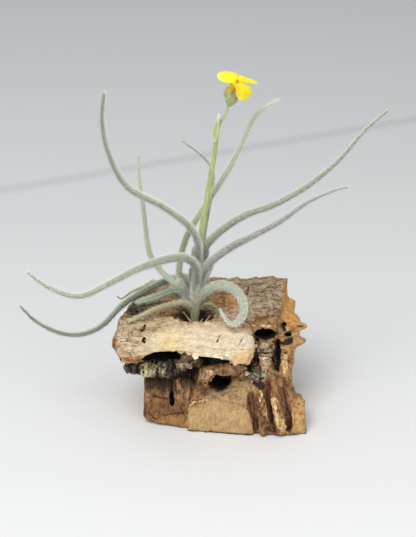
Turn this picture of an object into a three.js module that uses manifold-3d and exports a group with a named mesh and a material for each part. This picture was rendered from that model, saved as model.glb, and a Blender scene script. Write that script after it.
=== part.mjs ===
// Tillandsia crocata, a small silvery air plant in flower, growing on a chunk of virgin cork bark.
// Millimetres, +Z up, front towards -Y. The origin is the middle of the flat spot that the bark rests on.
// The plant is a main shoot and a side shoot, each with its own leaves, and a flower stem from the main one.

import * as THREE from "three";
import { mergeVertices } from "three/addons/utils/BufferGeometryUtils.js";
import Module from "manifold-3d";

const wasm = await Module();
wasm.setup();

// Driving sizes
const CLEARANCE = 0.3; // left between pieces that touch
const LEAF_SIDES = 8;
const LEAF_STEP = 4.8; // length of one stretch of a leaf
const LEAF_FLATNESS = 0.86; // thickness of a leaf over its width
const CHANNEL_DEPTH = 0.45; // groove along the upper side, over the half thickness
const PETAL_THICKNESS = 0.7;
const SEPAL_THICKNESS = 0.8;
const BARK_CELL = 5.6; // size of one facet of the bark
const CRUMPLE_SIZE = 9; // distance between bumps of the bark
const CRUMPLE = 1.1; // how far the bumps push
const HOLLOW_SIDES = 12;
const HOLLOW_RINGS = 8;
const CRUMPLE_SEEDS = [11, 37, 71]; // one for each direction
const GROUND_REACH = 260; // what lies below the table is cut off this wide
const WAVES_ALONG = 9; // radians of a petal's wave from its claw to its tip
const WAVE_SHIFT = 2; // radians between its two edges
const END_BULGE = 0.7; // how far a rod's end bulges, over its half width
const MERGE_WITHIN = 1e-4;

// Closed meshes as solids, to join and cut

function solidOf(geometry) {
  geometry.deleteAttribute("normal");
  geometry.deleteAttribute("uv");
  const merged = mergeVertices(geometry, MERGE_WITHIN);
  const mesh = new wasm.Mesh({
    numProp: 3,
    vertProperties: merged.attributes.position.array,
    triVerts: new Uint32Array(merged.index.array),
  });
  return new wasm.Manifold(mesh);
}

function geometryOf(solid) {
  const { vertProperties, triVerts } = solid.getMesh();
  const geometry = new THREE.BufferGeometry();
  geometry.setAttribute("position", new THREE.BufferAttribute(vertProperties, 3));
  geometry.setIndex(new THREE.BufferAttribute(triVerts, 1));
  geometry.computeVertexNormals();
  return geometry;
}

function join(solids) {
  return solids.reduce((whole, piece) => whole.add(piece));
}

function cut(solid, cutters) {
  return cutters.reduce((whole, piece) => whole.subtract(piece), solid);
}

/** The biggest of the bodies that a cut leaves. */
function biggestOf(solid) {
  return solid.decompose().reduce((best, body) => (body.volume() > best.volume() ? body : best));
}

// Rods and blades that grow along a curve

/** Reads a list of values, evenly spaced from 0 to 1, at a share of the way. */
function valueAlong(values, share) {
  const place = share * (values.length - 1);
  const before = Math.min(Math.floor(place), values.length - 2);
  return THREE.MathUtils.lerp(values[before], values[before + 1], place - before);
}

function curveThrough(path) {
  return new THREE.CatmullRomCurve3(path.map((p) => new THREE.Vector3(...p)), false, "centripetal");
}

/** Places along a curve, each with its tangent, an upper side that never twists, and the side across. */
function placesAlong(curve, steps, upper) {
  let along = curve.getTangentAt(0);
  let up = new THREE.Vector3(...upper).projectOnPlane(along).normalize();
  return Array.from({ length: steps + 1 }, (_, i) => {
    const ahead = curve.getTangentAt(i / steps);
    up = up.clone().applyQuaternion(new THREE.Quaternion().setFromUnitVectors(along, ahead));
    along = ahead;
    return { at: curve.getPointAt(i / steps), along, up, across: along.clone().cross(up) };
  });
}

/**
 * A rod bent along a path of [x, y, z], with an oval section and a groove along its upper side.
 * halfWidths run evenly from the root to the tip. A skin swells it all round.
 */
function rod(form, skin = 0) {
  const { path, halfWidths, upper = [0, 0, 1], flatness = 1, channel = 0 } = form;
  const { sides = LEAF_SIDES, step = LEAF_STEP } = form;
  const curve = curveThrough(path);
  const steps = Math.max(1, Math.round(curve.getLength() / step));
  const places = placesAlong(curve, steps, upper);
  const geometry = new THREE.CylinderGeometry(1, 1, 1, sides, steps);
  const position = geometry.attributes.position;
  const seamless = (value) => Math.fround(Math.round(value / MERGE_WITHIN) * MERGE_WITHIN);
  const point = new THREE.Vector3();
  for (let i = 0; i < position.count; i++) {
    const share = position.getY(i) + 0.5;
    const [x, z] = [seamless(position.getX(i)), seamless(position.getZ(i))];
    const place = places[Math.round(share * steps)];
    const half = valueAlong(halfWidths, share);
    const groove = skin === 0 && z === 1 ? 1 - channel : 1;
    point.copy(place.at);
    point.addScaledVector(place.across, x * (half + skin));
    point.addScaledVector(place.up, z * (half * flatness * groove + skin));
    if (x === 0 && z === 0) point.addScaledVector(place.along, (2 * share - 1) * (END_BULGE * half + skin));
    position.setXYZ(i, point.x, point.y, point.z);
  }
  return solidOf(geometry);
}

/**
 * A thin sheet grown along a path, wide and narrow by halfWidths, with its edges turned up by cup
 * and waved by wave. Both faces are split alike.
 */
function sheet({ path, halfWidths, upper, thickness, cup, wave = 0, cells, steps }, skin) {
  const places = placesAlong(curveThrough(path), steps, upper);
  const geometry = new THREE.BoxGeometry(1, 1, 1, cells, steps, 1);
  const position = geometry.attributes.position;
  const point = new THREE.Vector3();
  for (let i = 0; i < position.count; i++) {
    const side = 2 * position.getX(i);
    const share = position.getY(i) + 0.5;
    const face = 2 * position.getZ(i);
    const place = places[Math.round(share * steps)];
    const half = valueAlong(halfWidths, share) + skin;
    const ripple = Math.abs(side) * Math.sin(share * WAVES_ALONG + side * WAVE_SHIFT);
    const lift = cup * side * side * half + wave * ripple;
    point.copy(place.at);
    point.addScaledVector(place.across, side * half);
    point.addScaledVector(place.up, lift + face * (thickness / 2 + skin));
    if (share === 0 || share === 1) point.addScaledVector(place.along, (2 * share - 1) * skin);
    position.setXYZ(i, point.x, point.y, point.z);
  }
  return solidOf(geometry);
}

// Bark: blocks and hollows with crumpled faces

/** A fixed value from -1 to 1 for each whole-numbered place. */
function knot(i, j, k) {
  let mixed = Math.imul(i, 374761393) ^ Math.imul(j, 668265263) ^ Math.imul(k, 1440662683);
  mixed = Math.imul(mixed ^ (mixed >>> 13), 1274126177);
  return ((mixed ^ (mixed >>> 16)) >>> 0) / 2 ** 31 - 1;
}

/** Smooth bumps between the knots, from -1 to 1. */
function bumps(x, y, z) {
  const [i, j, k] = [Math.floor(x), Math.floor(y), Math.floor(z)];
  const [a, b, c] = [x - i, y - j, z - k].map((t) => t * t * (3 - 2 * t));
  const { lerp } = THREE.MathUtils;
  const row = (dj, dk) => lerp(knot(i, j + dj, k + dk), knot(i + 1, j + dj, k + dk), a);
  return lerp(lerp(row(0, 0), row(1, 0), b), lerp(row(0, 1), row(1, 1), b), c);
}

/** Pushes a point about as its place in the bark says. */
function crumple(point, amount) {
  const push = (size, seed) => bumps(point.x / size + seed, point.y / size - seed, point.z / size + 2 * seed);
  const offset = CRUMPLE_SEEDS.map((seed) => push(CRUMPLE_SIZE, seed) + push(CRUMPLE_SIZE / 2, seed + 5) / 2);
  return point.add(new THREE.Vector3(...offset).multiplyScalar(amount));
}

/**
 * A block of bark between a floor and a roof of four corners each, in the order left front, right front,
 * right back, left back. Rounding wears its edges, from 0, sharp, to 1, a ball.
 */
function barkBlock({ floor, roof, rounding = 0.25, roughness = CRUMPLE, cell = BARK_CELL }) {
  const corners = [...floor, ...roof].map((p) => new THREE.Vector3(...p));
  const [lf, rf, , lb, top] = corners;
  const cells = [rf, lb, top].map((p) => Math.max(2, Math.round(p.distanceTo(lf) / cell)));
  const geometry = new THREE.BoxGeometry(2, 2, 2, ...cells);
  const position = geometry.attributes.position;
  for (let i = 0; i < position.count; i++) {
    const cube = [position.getX(i), position.getY(i), position.getZ(i)];
    const [u, v, w] = cube.map((value, axis) => {
      const [p, q] = cube.filter((_, other) => other !== axis).map((s) => s * s);
      const ball = value * Math.sqrt(1 - p / 2 - q / 2 + (p * q) / 3);
      return (THREE.MathUtils.lerp(value, ball, rounding) + 1) / 2;
    });
    const level = (quad) => {
      const front = quad[0].clone().lerp(quad[1], u);
      return front.lerp(quad[3].clone().lerp(quad[2], u), v);
    };
    const point = level(corners.slice(0, 4)).lerp(level(corners.slice(4)), w);
    crumple(point, roughness);
    position.setXYZ(i, point.x, point.y, point.z);
  }
  return solidOf(geometry);
}

/** A hollow in the bark: a crumpled ball. */
function hollow({ centre, reach }) {
  const geometry = new THREE.SphereGeometry(1, HOLLOW_SIDES, HOLLOW_RINGS);
  const position = geometry.attributes.position;
  for (let i = 0; i < position.count; i++) {
    const point = new THREE.Vector3().fromBufferAttribute(position, i);
    point.multiply(new THREE.Vector3(...reach)).add(new THREE.Vector3(...centre));
    crumple(point, CRUMPLE);
    position.setXYZ(i, point.x, point.y, point.z);
  }
  return solidOf(geometry);
}

// The bark's masses, from the top down

const BARK_MASSES = {
  crown: {
    floor: [[-52, -14, 39], [27, -9, 30], [32, 24, 34], [-39, 24, 34]],
    roof: [[-52.5, -14, 51], [22.5, -13.5, 46], [31.5, 27, 55.5], [-39, 27, 55.5]],
    rounding: 0.16,
  },
  frontLog: {
    floor: [[-54, -25, 33.5], [12.5, -28, 34], [14, -10, 36], [-52, -8, 38]],
    roof: [[-52, -23, 50], [12.5, -24, 47], [14, -6, 51], [-50, -8, 53]],
    rounding: 0.42,
  },
  heart: {
    floor: [[-33, -12, -2.6], [28, -17, -2.6], [29, 20, -2.6], [-31, 20, -2.6]],
    roof: [[-36, -7, 42], [26, -5, 42], [30, 21, 44], [-37, 21, 44]],
    rounding: 0.3,
    roughness: 1.5,
  },
  leftShelf: {
    floor: [[-48, -17, 25], [-18, -18, 22], [-18, 4, 24], [-44, 4, 26]],
    roof: [[-48, -16, 30.5], [-18, -16, 31], [-18, 4, 36], [-45, 4, 36]],
    rounding: 0.3,
    roughness: 1.3,
    cell: 4,
  },
  leftFoot: {
    floor: [[-41, -20, -0.8], [-15, -25, -0.8], [-15, 6, -0.8], [-39, 9, -0.8]],
    roof: [[-38, -9, 27], [-15, -10, 27], [-15, 6, 27], [-38, 9, 27]],
    rounding: 0.34,
    roughness: 1.2,
  },
  tanFoot: {
    floor: [[-19, -25, -0.6], [13, -30, -0.6], [13, -5, -0.6], [-17, -5, -0.6]],
    roof: [[-18, -20, 13], [12, -23, 15.5], [12, -8, 27], [-15, -8, 20]],
    rounding: 0.16,
    roughness: 0.8,
  },
  ridgeBed: {
    floor: [[11, -27, -0.8], [33, -27, -0.8], [33, 8, -0.8], [11, 5, -0.8]],
    roof: [[9, -18, 27], [28, -14, 31], [31, 10, 40], [11, 5, 36]],
    rounding: 0.25,
    roughness: 1.3,
  },
  narrowRidge: {
    floor: [[14.5, -31, -1], [18.5, -31, -1], [18.5, -16, -1], [14.5, -16, -1]],
    roof: [[12, -20, 24], [15.5, -20, 25], [15.5, -12, 26], [12, -12, 26]],
    rounding: 0.3,
    roughness: 0.6,
    cell: 3.8,
  },
  broadRidge: {
    floor: [[21, -31, -1], [26, -31, -1], [26, -16, -1], [21, -16, -1]],
    roof: [[17, -20, 28], [22, -19, 29], [22, -11, 30], [17, -11, 30]],
    rounding: 0.3,
    roughness: 0.6,
    cell: 4,
  },
  rightBlock: {
    floor: [[29, -29, -1], [35.5, -28, -1], [35, -2, -1], [28, -4, -1]],
    roof: [[27.5, -23, 14.5], [35.5, -22, 14], [35, -8, 11.5], [27, -6, 12]],
    rounding: 0.2,
    roughness: 0.6,
    cell: 4.4,
  },
  rightWall: {
    floor: [[21, -10, 14], [29, -9, 14], [30, 16, 12], [22, 16, 12]],
    roof: [[22, -10, 42], [29.5, -9, 40], [33, 20, 48], [24, 20, 50]],
    rounding: 0.2,
  },
  sideFringe: {
    floor: [[24, -5, 24], [31, -3, 26], [31, 9, 26], [24, 12, 24]],
    roof: [[26, -5, 42], [34.5, -2, 43], [35, 6, 44], [26, 12, 45]],
    rounding: 0.2,
    roughness: 1.3,
    cell: 4.4,
  },
  upperFlake: {
    floor: [[29, -4, 39], [36, -1, 40.5], [36, 2, 40.5], [29, 6, 39]],
    roof: [[29, -4, 43.5], [37.5, -1, 42], [37.5, 1, 42], [29, 6, 43.5]],
    rounding: 0.1,
    roughness: 0.5,
    cell: 3.8,
  },
  lowerFlake: {
    floor: [[28, -5, 31], [35, -2, 32.5], [35, 2, 32.5], [28, 6, 31]],
    roof: [[28, -5, 36], [37, -2, 34.5], [37, 1, 34.5], [28, 6, 36]],
    rounding: 0.1,
    roughness: 0.5,
    cell: 3.8,
  },
  rubbleColumn: {
    floor: [[12.5, -20, 22], [20, -20, 22], [20, -8, 22], [12.5, -8, 22]],
    roof: [[13, -17, 41], [19.5, -17, 41], [19.5, -6, 41], [13, -6, 41]],
    rounding: 0.35,
    roughness: 1.5,
    cell: 3.8,
  },
  caveRoof: {
    floor: [[-7, -18, 25], [8, -20, 24], [8, -4, 26], [-9, -4, 27]],
    roof: [[-8, -16, 32.5], [8, -17, 33], [8, -4, 35], [-9, -4, 36]],
    rounding: 0.35,
    roughness: 1.3,
    cell: 3.8,
  },
  rubbleChunk: {
    floor: [[-14, -20, 19], [-7, -21, 18], [-7, -6, 20], [-14, -6, 20]],
    roof: [[-12, -18, 27], [-5, -18, 28.5], [-6, -6, 30], [-13, -6, 30]],
    rounding: 0.4,
    roughness: 1.3,
    cell: 3.8,
  },
  rubbleLump: {
    floor: [[-22, -21, 30], [-13, -21, 31], [-13, -6, 31], [-22, -6, 31]],
    roof: [[-21, -19, 37], [-14, -19, 37], [-14, -6, 38], [-21, -6, 38]],
    rounding: 0.4,
    roughness: 1.3,
    cell: 3.8,
  },
  ridgeRubble: {
    floor: [[8, -22, 16], [24, -22, 18], [24, -6, 18], [8, -6, 16]],
    roof: [[9, -18, 27.5], [22, -18, 29], [22, -6, 31], [9, -6, 29]],
    rounding: 0.3,
    roughness: 1.6,
    cell: 4,
  },
};

/** The plates of the outer bark at the back, side by side with fissures between them. */
const BACK_PLATES = {
  edges: [-35, -21, -5, 9, 19, 30],
  fissure: 1.8,
  inner: 12,
  outer: [25, 27.5, 26, 28, 25.5],
  foot: [2, 0, -1, 1, 3],
  top: [44, 47, 40, 46, 43],
  rounding: 0.3,
  roughness: 1.5,
};

const BARK_HOLLOWS = [
  { centre: [-15.5, -6.5, 53], reach: [10.5, 6, 9] }, // the pocket that the plant grows in
  { centre: [-41, -3, 53], reach: [5.5, 4.5, 4.5] }, // a crumbly pit at the left of the top
  { centre: [-3.5, -17, 20.5], reach: [5.8, 14, 4.4] }, // the cave over the tan foot
  { centre: [16.5, -14, 42], reach: [6, 10, 4.2] }, // the cavity right of the log
  { centre: [22.5, -13, 33], reach: [2.2, 9, 7.5] }, // the upright slot beside it
  { centre: [28.5, -7, 39.5], reach: [4, 5, 1.7] }, // a slit in the right side
  { centre: [29.5, -7, 29], reach: [4, 5, 2.6] }, // a brown recess under it
  { centre: [-25.5, -13, 14], reach: [1.3, 5, 10] }, // upright furrows in the left foot
  { centre: [-17.5, -16, 13], reach: [1.4, 5, 6] },
];

// The plant, each path from the root to the tip

const SHOOTS = {
  main_shoot: {
    path: [[-15, -7, 46], [-14.8, -5.5, 56], [-14, -3.5, 64], [-13.2, -2, 71], [-12.7, -1.2, 76]],
    halfWidths: [2.1, 2.8, 3, 2.9, 2.7],
    colour: "#959981",
  },
  side_shoot: {
    path: [[-16, -6, 52], [-18.5, -2.5, 57], [-21, 1, 61], [-22, 3, 64]],
    halfWidths: [1.8, 2.3, 2.4, 2.1],
    colour: "#969b7e",
  },
};

const FLOWER_STEM = {
  path: [
    [-12.8, -1.5, 70], [-12, -1, 87], [-9.2, -1, 106], [-6.4, -1, 124], [-4, -1, 138.5], [-2.2, -1, 141.2],
    [-0.3, -1, 146.6],
  ],
  halfWidths: [1.35, 1.35, 1.3, 1.25, 1.2, 1.15, 1.1, 0.8, 0.8],
  sides: 8,
  colour: "#a9b97f",
};

const LEAVES = {
  leaf_low_right: {
    path: [
      [-12.8, -3, 66], [-9.5, -5, 74], [0, -8, 83.6], [9.5, -11, 90.3], [22, -13, 98.4],
      [33, -15, 107.8], [44, -17, 114], [50, -18, 116],
    ],
    halfWidths: [2.3, 2.4, 2.2, 1.8, 1.5, 1.2, 0.8, 0.5],
    upper: [-0.5, 0, 1],
  },
  leaf_arch_left: {
    path: [
      [-13.8, -4, 65], [-14, -7, 74], [-18, -10, 79.7], [-24, -14, 81.8], [-38, -24, 81.5],
      [-50.5, -33, 78.4], [-63, -37, 74.2], [-76, -36, 78], [-85, -32, 83],
    ],
    halfWidths: [2.2, 2.3, 2.2, 1.9, 1.6, 1.45, 1.3, 1.1, 0.8],
    upper: [0.6, 0, 1],
  },
  leaf_high_left: {
    path: [
      [-13.3, -2.5, 72], [-13, -3.5, 82], [-16, -4, 91], [-28, -4, 101.5], [-44, -4, 111],
      [-51.5, -5, 127], [-53.5, -6, 141], [-52, -8, 154],
    ],
    halfWidths: [2, 2.1, 2, 1.9, 1.8, 1.6, 1.4, 1.2, 0.95],
    upper: [0.6, 0, 1],
  },
  leaf_long_right: {
    path: [
      [-13, 0, 70], [-11, 0, 79.5], [-4.5, 1, 87.3], [8, 2.5, 95.5], [19, 4, 99], [33.5, 6, 106.6],
      [48, 8, 118.5], [60, 10, 132.5], [69.5, 12, 140.5],
    ],
    halfWidths: [2.2, 2.3, 2.1, 1.8, 1.6, 1.35, 1.1, 0.8, 0.5],
    upper: [-0.6, 0, 1],
  },
  leaf_thin_back: {
    path: [
      [-12.3, 1, 70], [-11.5, 5, 78], [-9, 12, 92], [-6.5, 17, 105], [-7, 19.5, 110.5],
      [-11.5, 21, 116.5], [-21, 22, 123.7],
    ],
    halfWidths: [1.1, 1, 0.8, 0.75, 0.7, 0.6, 0.5],
    upper: [0.5, -1, 0],
  },
  leaf_upright_left: {
    path: [
      [-20.5, 0, 58.5], [-24, 2.5, 61.8], [-31, 5.5, 67.5], [-35.3, 7, 74], [-36.8, 8, 83],
      [-38, 8, 98], [-39.6, 9, 112], [-39.3, 9, 121.5],
    ],
    halfWidths: [1.9, 1.9, 1.8, 1.6, 1.4, 1.2, 1, 0.8],
    upper: [0.3, -0.6, 1],
  },
  leaf_rear_right: {
    path: [
      [-20.8, 1.5, 58], [-22.3, 5, 64], [-22, 6.5, 70], [-19, 8, 82], [-9.5, 8, 99],
      [1.5, 8, 117.5], [9.5, 8, 135.5], [14, 7.5, 142], [21.5, 6, 147],
    ],
    halfWidths: [1.9, 1.9, 1.8, 1.7, 1.6, 1.5, 1.3, 1.1, 0.8],
    upper: [-0.6, 0, 1],
  },
  leaf_low_left: {
    path: [
      [-14.5, 0, 62], [-20, 7, 63.2], [-34, 9.5, 57.4], [-48, 4, 50.6], [-57, -2, 43.2],
      [-64, -4, 40], [-73, -6, 40.2], [-86, -9, 48], [-93, -10, 56.6],
    ],
    halfWidths: [1.8, 1.8, 1.75, 1.7, 1.6, 1.5, 1.4, 1.2, 0.9],
    upper: [0.5, 0.3, 1],
  },
  leaf_curl: {
    path: [
      [-12.8, -4, 58], [-9, -7, 63.4], [-4.5, -9.3, 66.5], [0, -11, 66.8], [4, -13.2, 64.8],
      [6.6, -16, 60.5], [6.3, -18.6, 56.3], [3.8, -20, 53.4], [1, -20, 52.6], [-1.3, -18, 54.4],
      [-3.6, -14, 57.2],
    ],
    halfWidths: [2.3, 2.35, 2.35, 2.3, 2.2, 2, 1.9, 1.6, 1.1, 0.7, 0.5],
    upper: [0.3, -0.5, 1],
    step: 2.6,
  },
  leaf_old: {
    path: [
      [-12, -6.5, 54], [-9.8, -9, 57.3], [-7.8, -10, 57.8], [-5.3, -11, 56.5], [-4.9, -11.8, 54],
      [-6.3, -12.3, 51.5],
    ],
    halfWidths: [0.8, 0.8, 0.75, 0.7, 0.6],
    upper: [0, -1, 0],
    sides: 6,
    step: 2,
    channel: 0,
    colour: "#8d8a55",
  },
  leaf_low_front: {
    path: [
      [-16.3, -6, 54], [-18.5, -8, 56.6], [-21.3, -9, 57.9], [-27.5, -10, 56.8], [-33, -11, 55.2],
      [-38.5, -12, 52.8], [-44.7, -14, 50.4],
    ],
    halfWidths: [1.5, 1.5, 1.5, 1.45, 1.4, 1.2],
    upper: [0, 0, 1],
    step: 3.2,
    colour: "#a3a585",
  },
  leaf_channelled: {
    path: [
      [-17, -2.5, 56], [-20, -2, 59.4], [-23, -1, 60.3], [-27, 0, 58.7], [-33, 1, 55.6],
      [-38, 1.5, 53.8], [-42.5, 1.5, 52.4],
    ],
    halfWidths: [1.9, 2.1, 2.2, 2.2, 2, 1.3],
    upper: [0, -0.4, 1],
    step: 3,
  },
  leaf_dry: {
    path: [
      [-22, 6, 59], [-26, 11, 58.6], [-34, 12.8, 57.4], [-44, 9.5, 54.6], [-49.5, 7.5, 51.8],
      [-51, 7, 53.6],
    ],
    halfWidths: [0.9, 0.8, 0.7, 0.6, 0.5],
    upper: [0, 0, 1],
    sides: 6,
    step: 3,
    channel: 0,
    colour: "#a08c68",
  },
};

const ROOTSTOCK = {
  path: [[-14, -8, 47], [-15.5, -7.5, 45.4], [-18, -7, 45]],
  halfWidths: [1.3, 1.5, 1.2],
  sides: 8,
  step: 1.5,
};
const ROOTS = [
  [[-15.5, -7.5, 45.5], [-16, -11, 49], [-17.5, -13, 51.5]],
  [[-15.5, -7.5, 45.5], [-13, -11, 48], [-11.5, -12.5, 51.5]],
  [[-15.5, -7.5, 45.5], [-11, -8, 47], [-8, -7, 50.5]],
  [[-16, -7.5, 45.5], [-20, -8, 47], [-23, -8, 50]],
  [[-16, -7.5, 45.5], [-18, -4, 47.5], [-20.5, -3, 50.5]],
];
const ROOT = { halfWidths: [0.55, 0.45, 0.4], sides: 5, step: 1.6 };

// The bloom, leaning to the right and forwards on its stem

const BRACT = {
  path: [[-5.9, -2.5, 130.5], [-5.5, -2.7, 135], [-4.8, -2.5, 139.5], [-4.3, -2.2, 143.2]],
  halfWidths: [0.6, 1.3, 1.3, 0.9, 0.4],
  upper: [-0.5, -1, 0],
  thickness: SEPAL_THICKNESS,
  cup: -0.4,
  cells: 4,
  steps: 5,
};

const CALYX = {
  foot: [-0.3, -1, 145.9],
  mouth: [2.1, -1.6, 154.2],
  // radius and height, up the outside to the rim and down the inside
  profile: [
    [0, 0], [0.8, 0.1], [1.9, 1.5], [2.65, 3.3], [2.7, 4.9], [2.1, 6.6],
    [1.5, 6.6], [1.7, 4.9], [1.2, 3], [0, 2.6],
  ],
  sides: 12,
};
const SEPAL_TIPS = [
  { path: [[-0.6, -2.4, 151.6], [-0.7, -2.6, 154], [-0.2, -2.4, 155.9]], upper: [-1, 0, 0] },
  { path: [[2.8, -3.3, 150.6], [3.1, -3.4, 153], [2.8, -2.9, 155]], upper: [0, -1, 0] },
  { path: [[2.4, 0.6, 150.8], [2.9, 0.9, 153.4], [2.9, 0.7, 156]], upper: [0, 1, 0] },
];
const SEPAL = { halfWidths: [1.5, 1.2, 0.4], thickness: SEPAL_THICKNESS, cup: -0.15, cells: 2, steps: 4 };

const PETALS = {
  petal_left: {
    path: [
      [0.7, -1.3, 150.2], [1, -1.4, 154.8], [-0.3, -1.4, 157.2], [-2.8, -1.5, 158.4],
      [-5.3, -1.5, 158.6],
    ],
    halfWidths: [0.5, 0.6, 1, 2.9, 4.4, 4.9, 4.4, 2.8],
    upper: [1, -0.1, 0],
  },
  petal_right: {
    path: [[2.2, -0.5, 150.2], [3.3, -0.1, 154.8], [4.8, 1, 156.8], [8.2, 2.6, 156.8], [12, 4, 155.2]],
    halfWidths: [0.5, 0.6, 1.2, 3, 4.3, 4.3, 3.4, 1.6],
    upper: [-1, -0.45, 0],
  },
  petal_front: {
    path: [[1.8, -2.2, 150.2], [2.6, -3.2, 154.2], [3.6, -5, 155.8], [5, -7.4, 154.4], [6, -8.8, 150.8]],
    halfWidths: [0.5, 0.6, 1.2, 3, 4.3, 4.6, 4, 2.4],
    upper: [-0.54, 0.84, 0],
  },
};

const PETAL = { thickness: PETAL_THICKNESS, cup: 0.18, wave: 0.35, cells: 4, steps: 10 };

/** Stamens in a ring, joined at the foot by a bed. */
const STAMENS = {
  foot: [1.8, -1.5, 149.6],
  length: 4.4,
  ring: 0.7,
  halfWidth: 0.3,
  count: 6,
  sides: 4,
  bed: { path: [[1.75, -1.5, 149.2], [1.9, -1.55, 150]], halfWidths: [1.1, 1.1], upper: [0, -1, 0] },
};

// Making the pieces

const FELT = { roughness: 0.9, metalness: 0 };
const BARK_FINISH = { roughness: 0.95, metalness: 0 };
const LEAF_COLOUR = "#a3a892";

const model = new THREE.Group();
const placed = [];

/** Keeps a solid as a named mesh. */
function keep(name, solid, color, finish = FELT) {
  const mesh = new THREE.Mesh(geometryOf(solid), new THREE.MeshStandardMaterial({ color, ...finish }));
  mesh.name = name;
  model.add(mesh);
}

/** Keeps a piece cut clear of those before it, and remembers its swollen form for those after it. */
function settle(name, solid, swollen, colour) {
  const clear = biggestOf(cut(solid, placed));
  keep(name, clear, colour);
  placed.push(swollen);
}

function settleRod(name, form) {
  settle(name, rod(form), rod(form, CLEARANCE), form.colour ?? LEAF_COLOUR);
}

function makeShoots() {
  for (const [name, form] of Object.entries(SHOOTS)) settleRod(name, form);
  settleRod("flower_stem", FLOWER_STEM);
}

function makeLeaves() {
  for (const [name, leaf] of Object.entries(LEAVES)) {
    settleRod(name, { flatness: LEAF_FLATNESS, channel: CHANNEL_DEPTH, ...leaf });
  }
}

/** A short rootstock under the main shoot, with thin roots that spread over the pocket's floor. */
function makeRoots() {
  const roots = (skin) => join([rod(ROOTSTOCK, skin), ...ROOTS.map((path) => rod({ path, ...ROOT }, skin))]);
  settle("roots", roots(0), roots(CLEARANCE), "#b5a07a");
}

const calyxAxis = new THREE.Vector3(...CALYX.mouth).sub(new THREE.Vector3(...CALYX.foot)).normalize();

/** The calyx: a felted cup, closed below, with the tips of its three sepals standing up from the rim. */
function calyx(skin) {
  const outline = CALYX.profile.map(([radius, height]) => new THREE.Vector2(radius, height));
  const cup = new THREE.LatheGeometry(outline, CALYX.sides);
  cup.applyQuaternion(new THREE.Quaternion().setFromUnitVectors(new THREE.Vector3(0, 1, 0), calyxAxis));
  cup.translate(...CALYX.foot);
  const tips = SEPAL_TIPS.map((tip) => sheet({ ...SEPAL, ...tip }, skin));
  return join([solidOf(cup), ...tips]);
}

/** The stamens round the style, deep in the flower. */
function stamens(skin) {
  const { length, ring, halfWidth, count, sides, bed } = STAMENS;
  const threads = Array.from({ length: count }, (_, i) => {
    const turn = (2 * Math.PI * i) / count;
    const start = new THREE.Vector3(Math.cos(turn), Math.sin(turn), 0).multiplyScalar(ring);
    start.add(new THREE.Vector3(...STAMENS.foot));
    const head = start.clone().addScaledVector(calyxAxis, length);
    const path = [start.toArray(), head.toArray()];
    return rod({ path, halfWidths: [halfWidth, halfWidth], upper: bed.upper, sides }, skin);
  });
  return join([rod(bed, skin), ...threads]);
}

function makeFlower() {
  settle("bract", sheet(BRACT, 0), sheet(BRACT, CLEARANCE), "#b3bd92");
  settle("calyx", calyx(0), calyx(CLEARANCE), "#9ca46d");
  settle("stamens", stamens(0), stamens(CLEARANCE), "#c9a21c");
  for (const [name, form] of Object.entries(PETALS)) {
    const petal = { ...PETAL, ...form };
    settle(name, sheet(petal, 0), sheet(petal, CLEARANCE), "#f7dc06");
  }
}

function backPlates() {
  const { edges, fissure, inner, outer, foot, top, rounding, roughness } = BACK_PLATES;
  return outer.map((back, i) => {
    const [left, right] = [edges[i] + fissure / 2, edges[i + 1] - fissure / 2];
    const quad = (z) => [[left, inner, z], [right, inner, z], [right, back, z], [left, back, z]];
    return barkBlock({ floor: quad(foot[i]), roof: quad(top[i]), rounding, roughness });
  });
}

/** The bark, cut flat at the table, with its hollows, and with a bed wherever the plant lies on it. */
function makeBark() {
  const ground = new THREE.BoxGeometry(GROUND_REACH, GROUND_REACH, GROUND_REACH);
  ground.translate(0, 0, -GROUND_REACH / 2);
  const masses = join([...Object.values(BARK_MASSES).map(barkBlock), ...backPlates()]);
  const hollows = BARK_HOLLOWS.map(hollow);
  const bark = biggestOf(cut(masses, [...hollows, solidOf(ground), ...placed]));
  keep("cork_bark", bark, "#b09468", BARK_FINISH);
}

makeShoots();
makeLeaves();
makeRoots();
makeFlower();
makeBark();

export default model;
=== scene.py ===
# Tillandsia crocata in flower on a chunk of virgin cork bark, in a pale studio.
# Metres, +X right, +Y away from the camera, +Z up. The origin is on the table, under the middle of the bark.

import math
from contextlib import contextmanager
from dataclasses import dataclass

import bpy
import numpy as np
from mathutils import Euler, Matrix, Vector
from mathutils.bvhtree import BVHTree
from mathutils.kdtree import KDTree


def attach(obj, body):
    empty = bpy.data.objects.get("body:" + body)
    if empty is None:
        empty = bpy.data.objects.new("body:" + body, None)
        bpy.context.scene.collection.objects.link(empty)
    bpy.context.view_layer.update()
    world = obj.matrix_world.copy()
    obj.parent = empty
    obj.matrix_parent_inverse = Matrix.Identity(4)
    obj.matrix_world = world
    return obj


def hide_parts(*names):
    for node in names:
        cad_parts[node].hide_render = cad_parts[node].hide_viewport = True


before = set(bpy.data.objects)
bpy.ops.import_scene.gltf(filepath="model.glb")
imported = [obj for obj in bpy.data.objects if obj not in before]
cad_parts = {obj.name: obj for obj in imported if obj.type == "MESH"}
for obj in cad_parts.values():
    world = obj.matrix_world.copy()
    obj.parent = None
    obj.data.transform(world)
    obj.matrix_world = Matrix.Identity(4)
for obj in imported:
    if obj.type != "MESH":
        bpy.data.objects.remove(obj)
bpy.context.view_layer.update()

MM = 0.001
SEED = 7

# Driving sizes of the finish, in millimetres
LEAF_RING = 2.0  # distance between two rings of a leaf
HAIR_WIDTH = 0.06
PETAL_THICKNESS = 0.3
BARK_GRAIN = 0.6  # size of the bark's smallest facet
CUTTER_GRAIN = 0.35  # and of the tool that carves it

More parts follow.
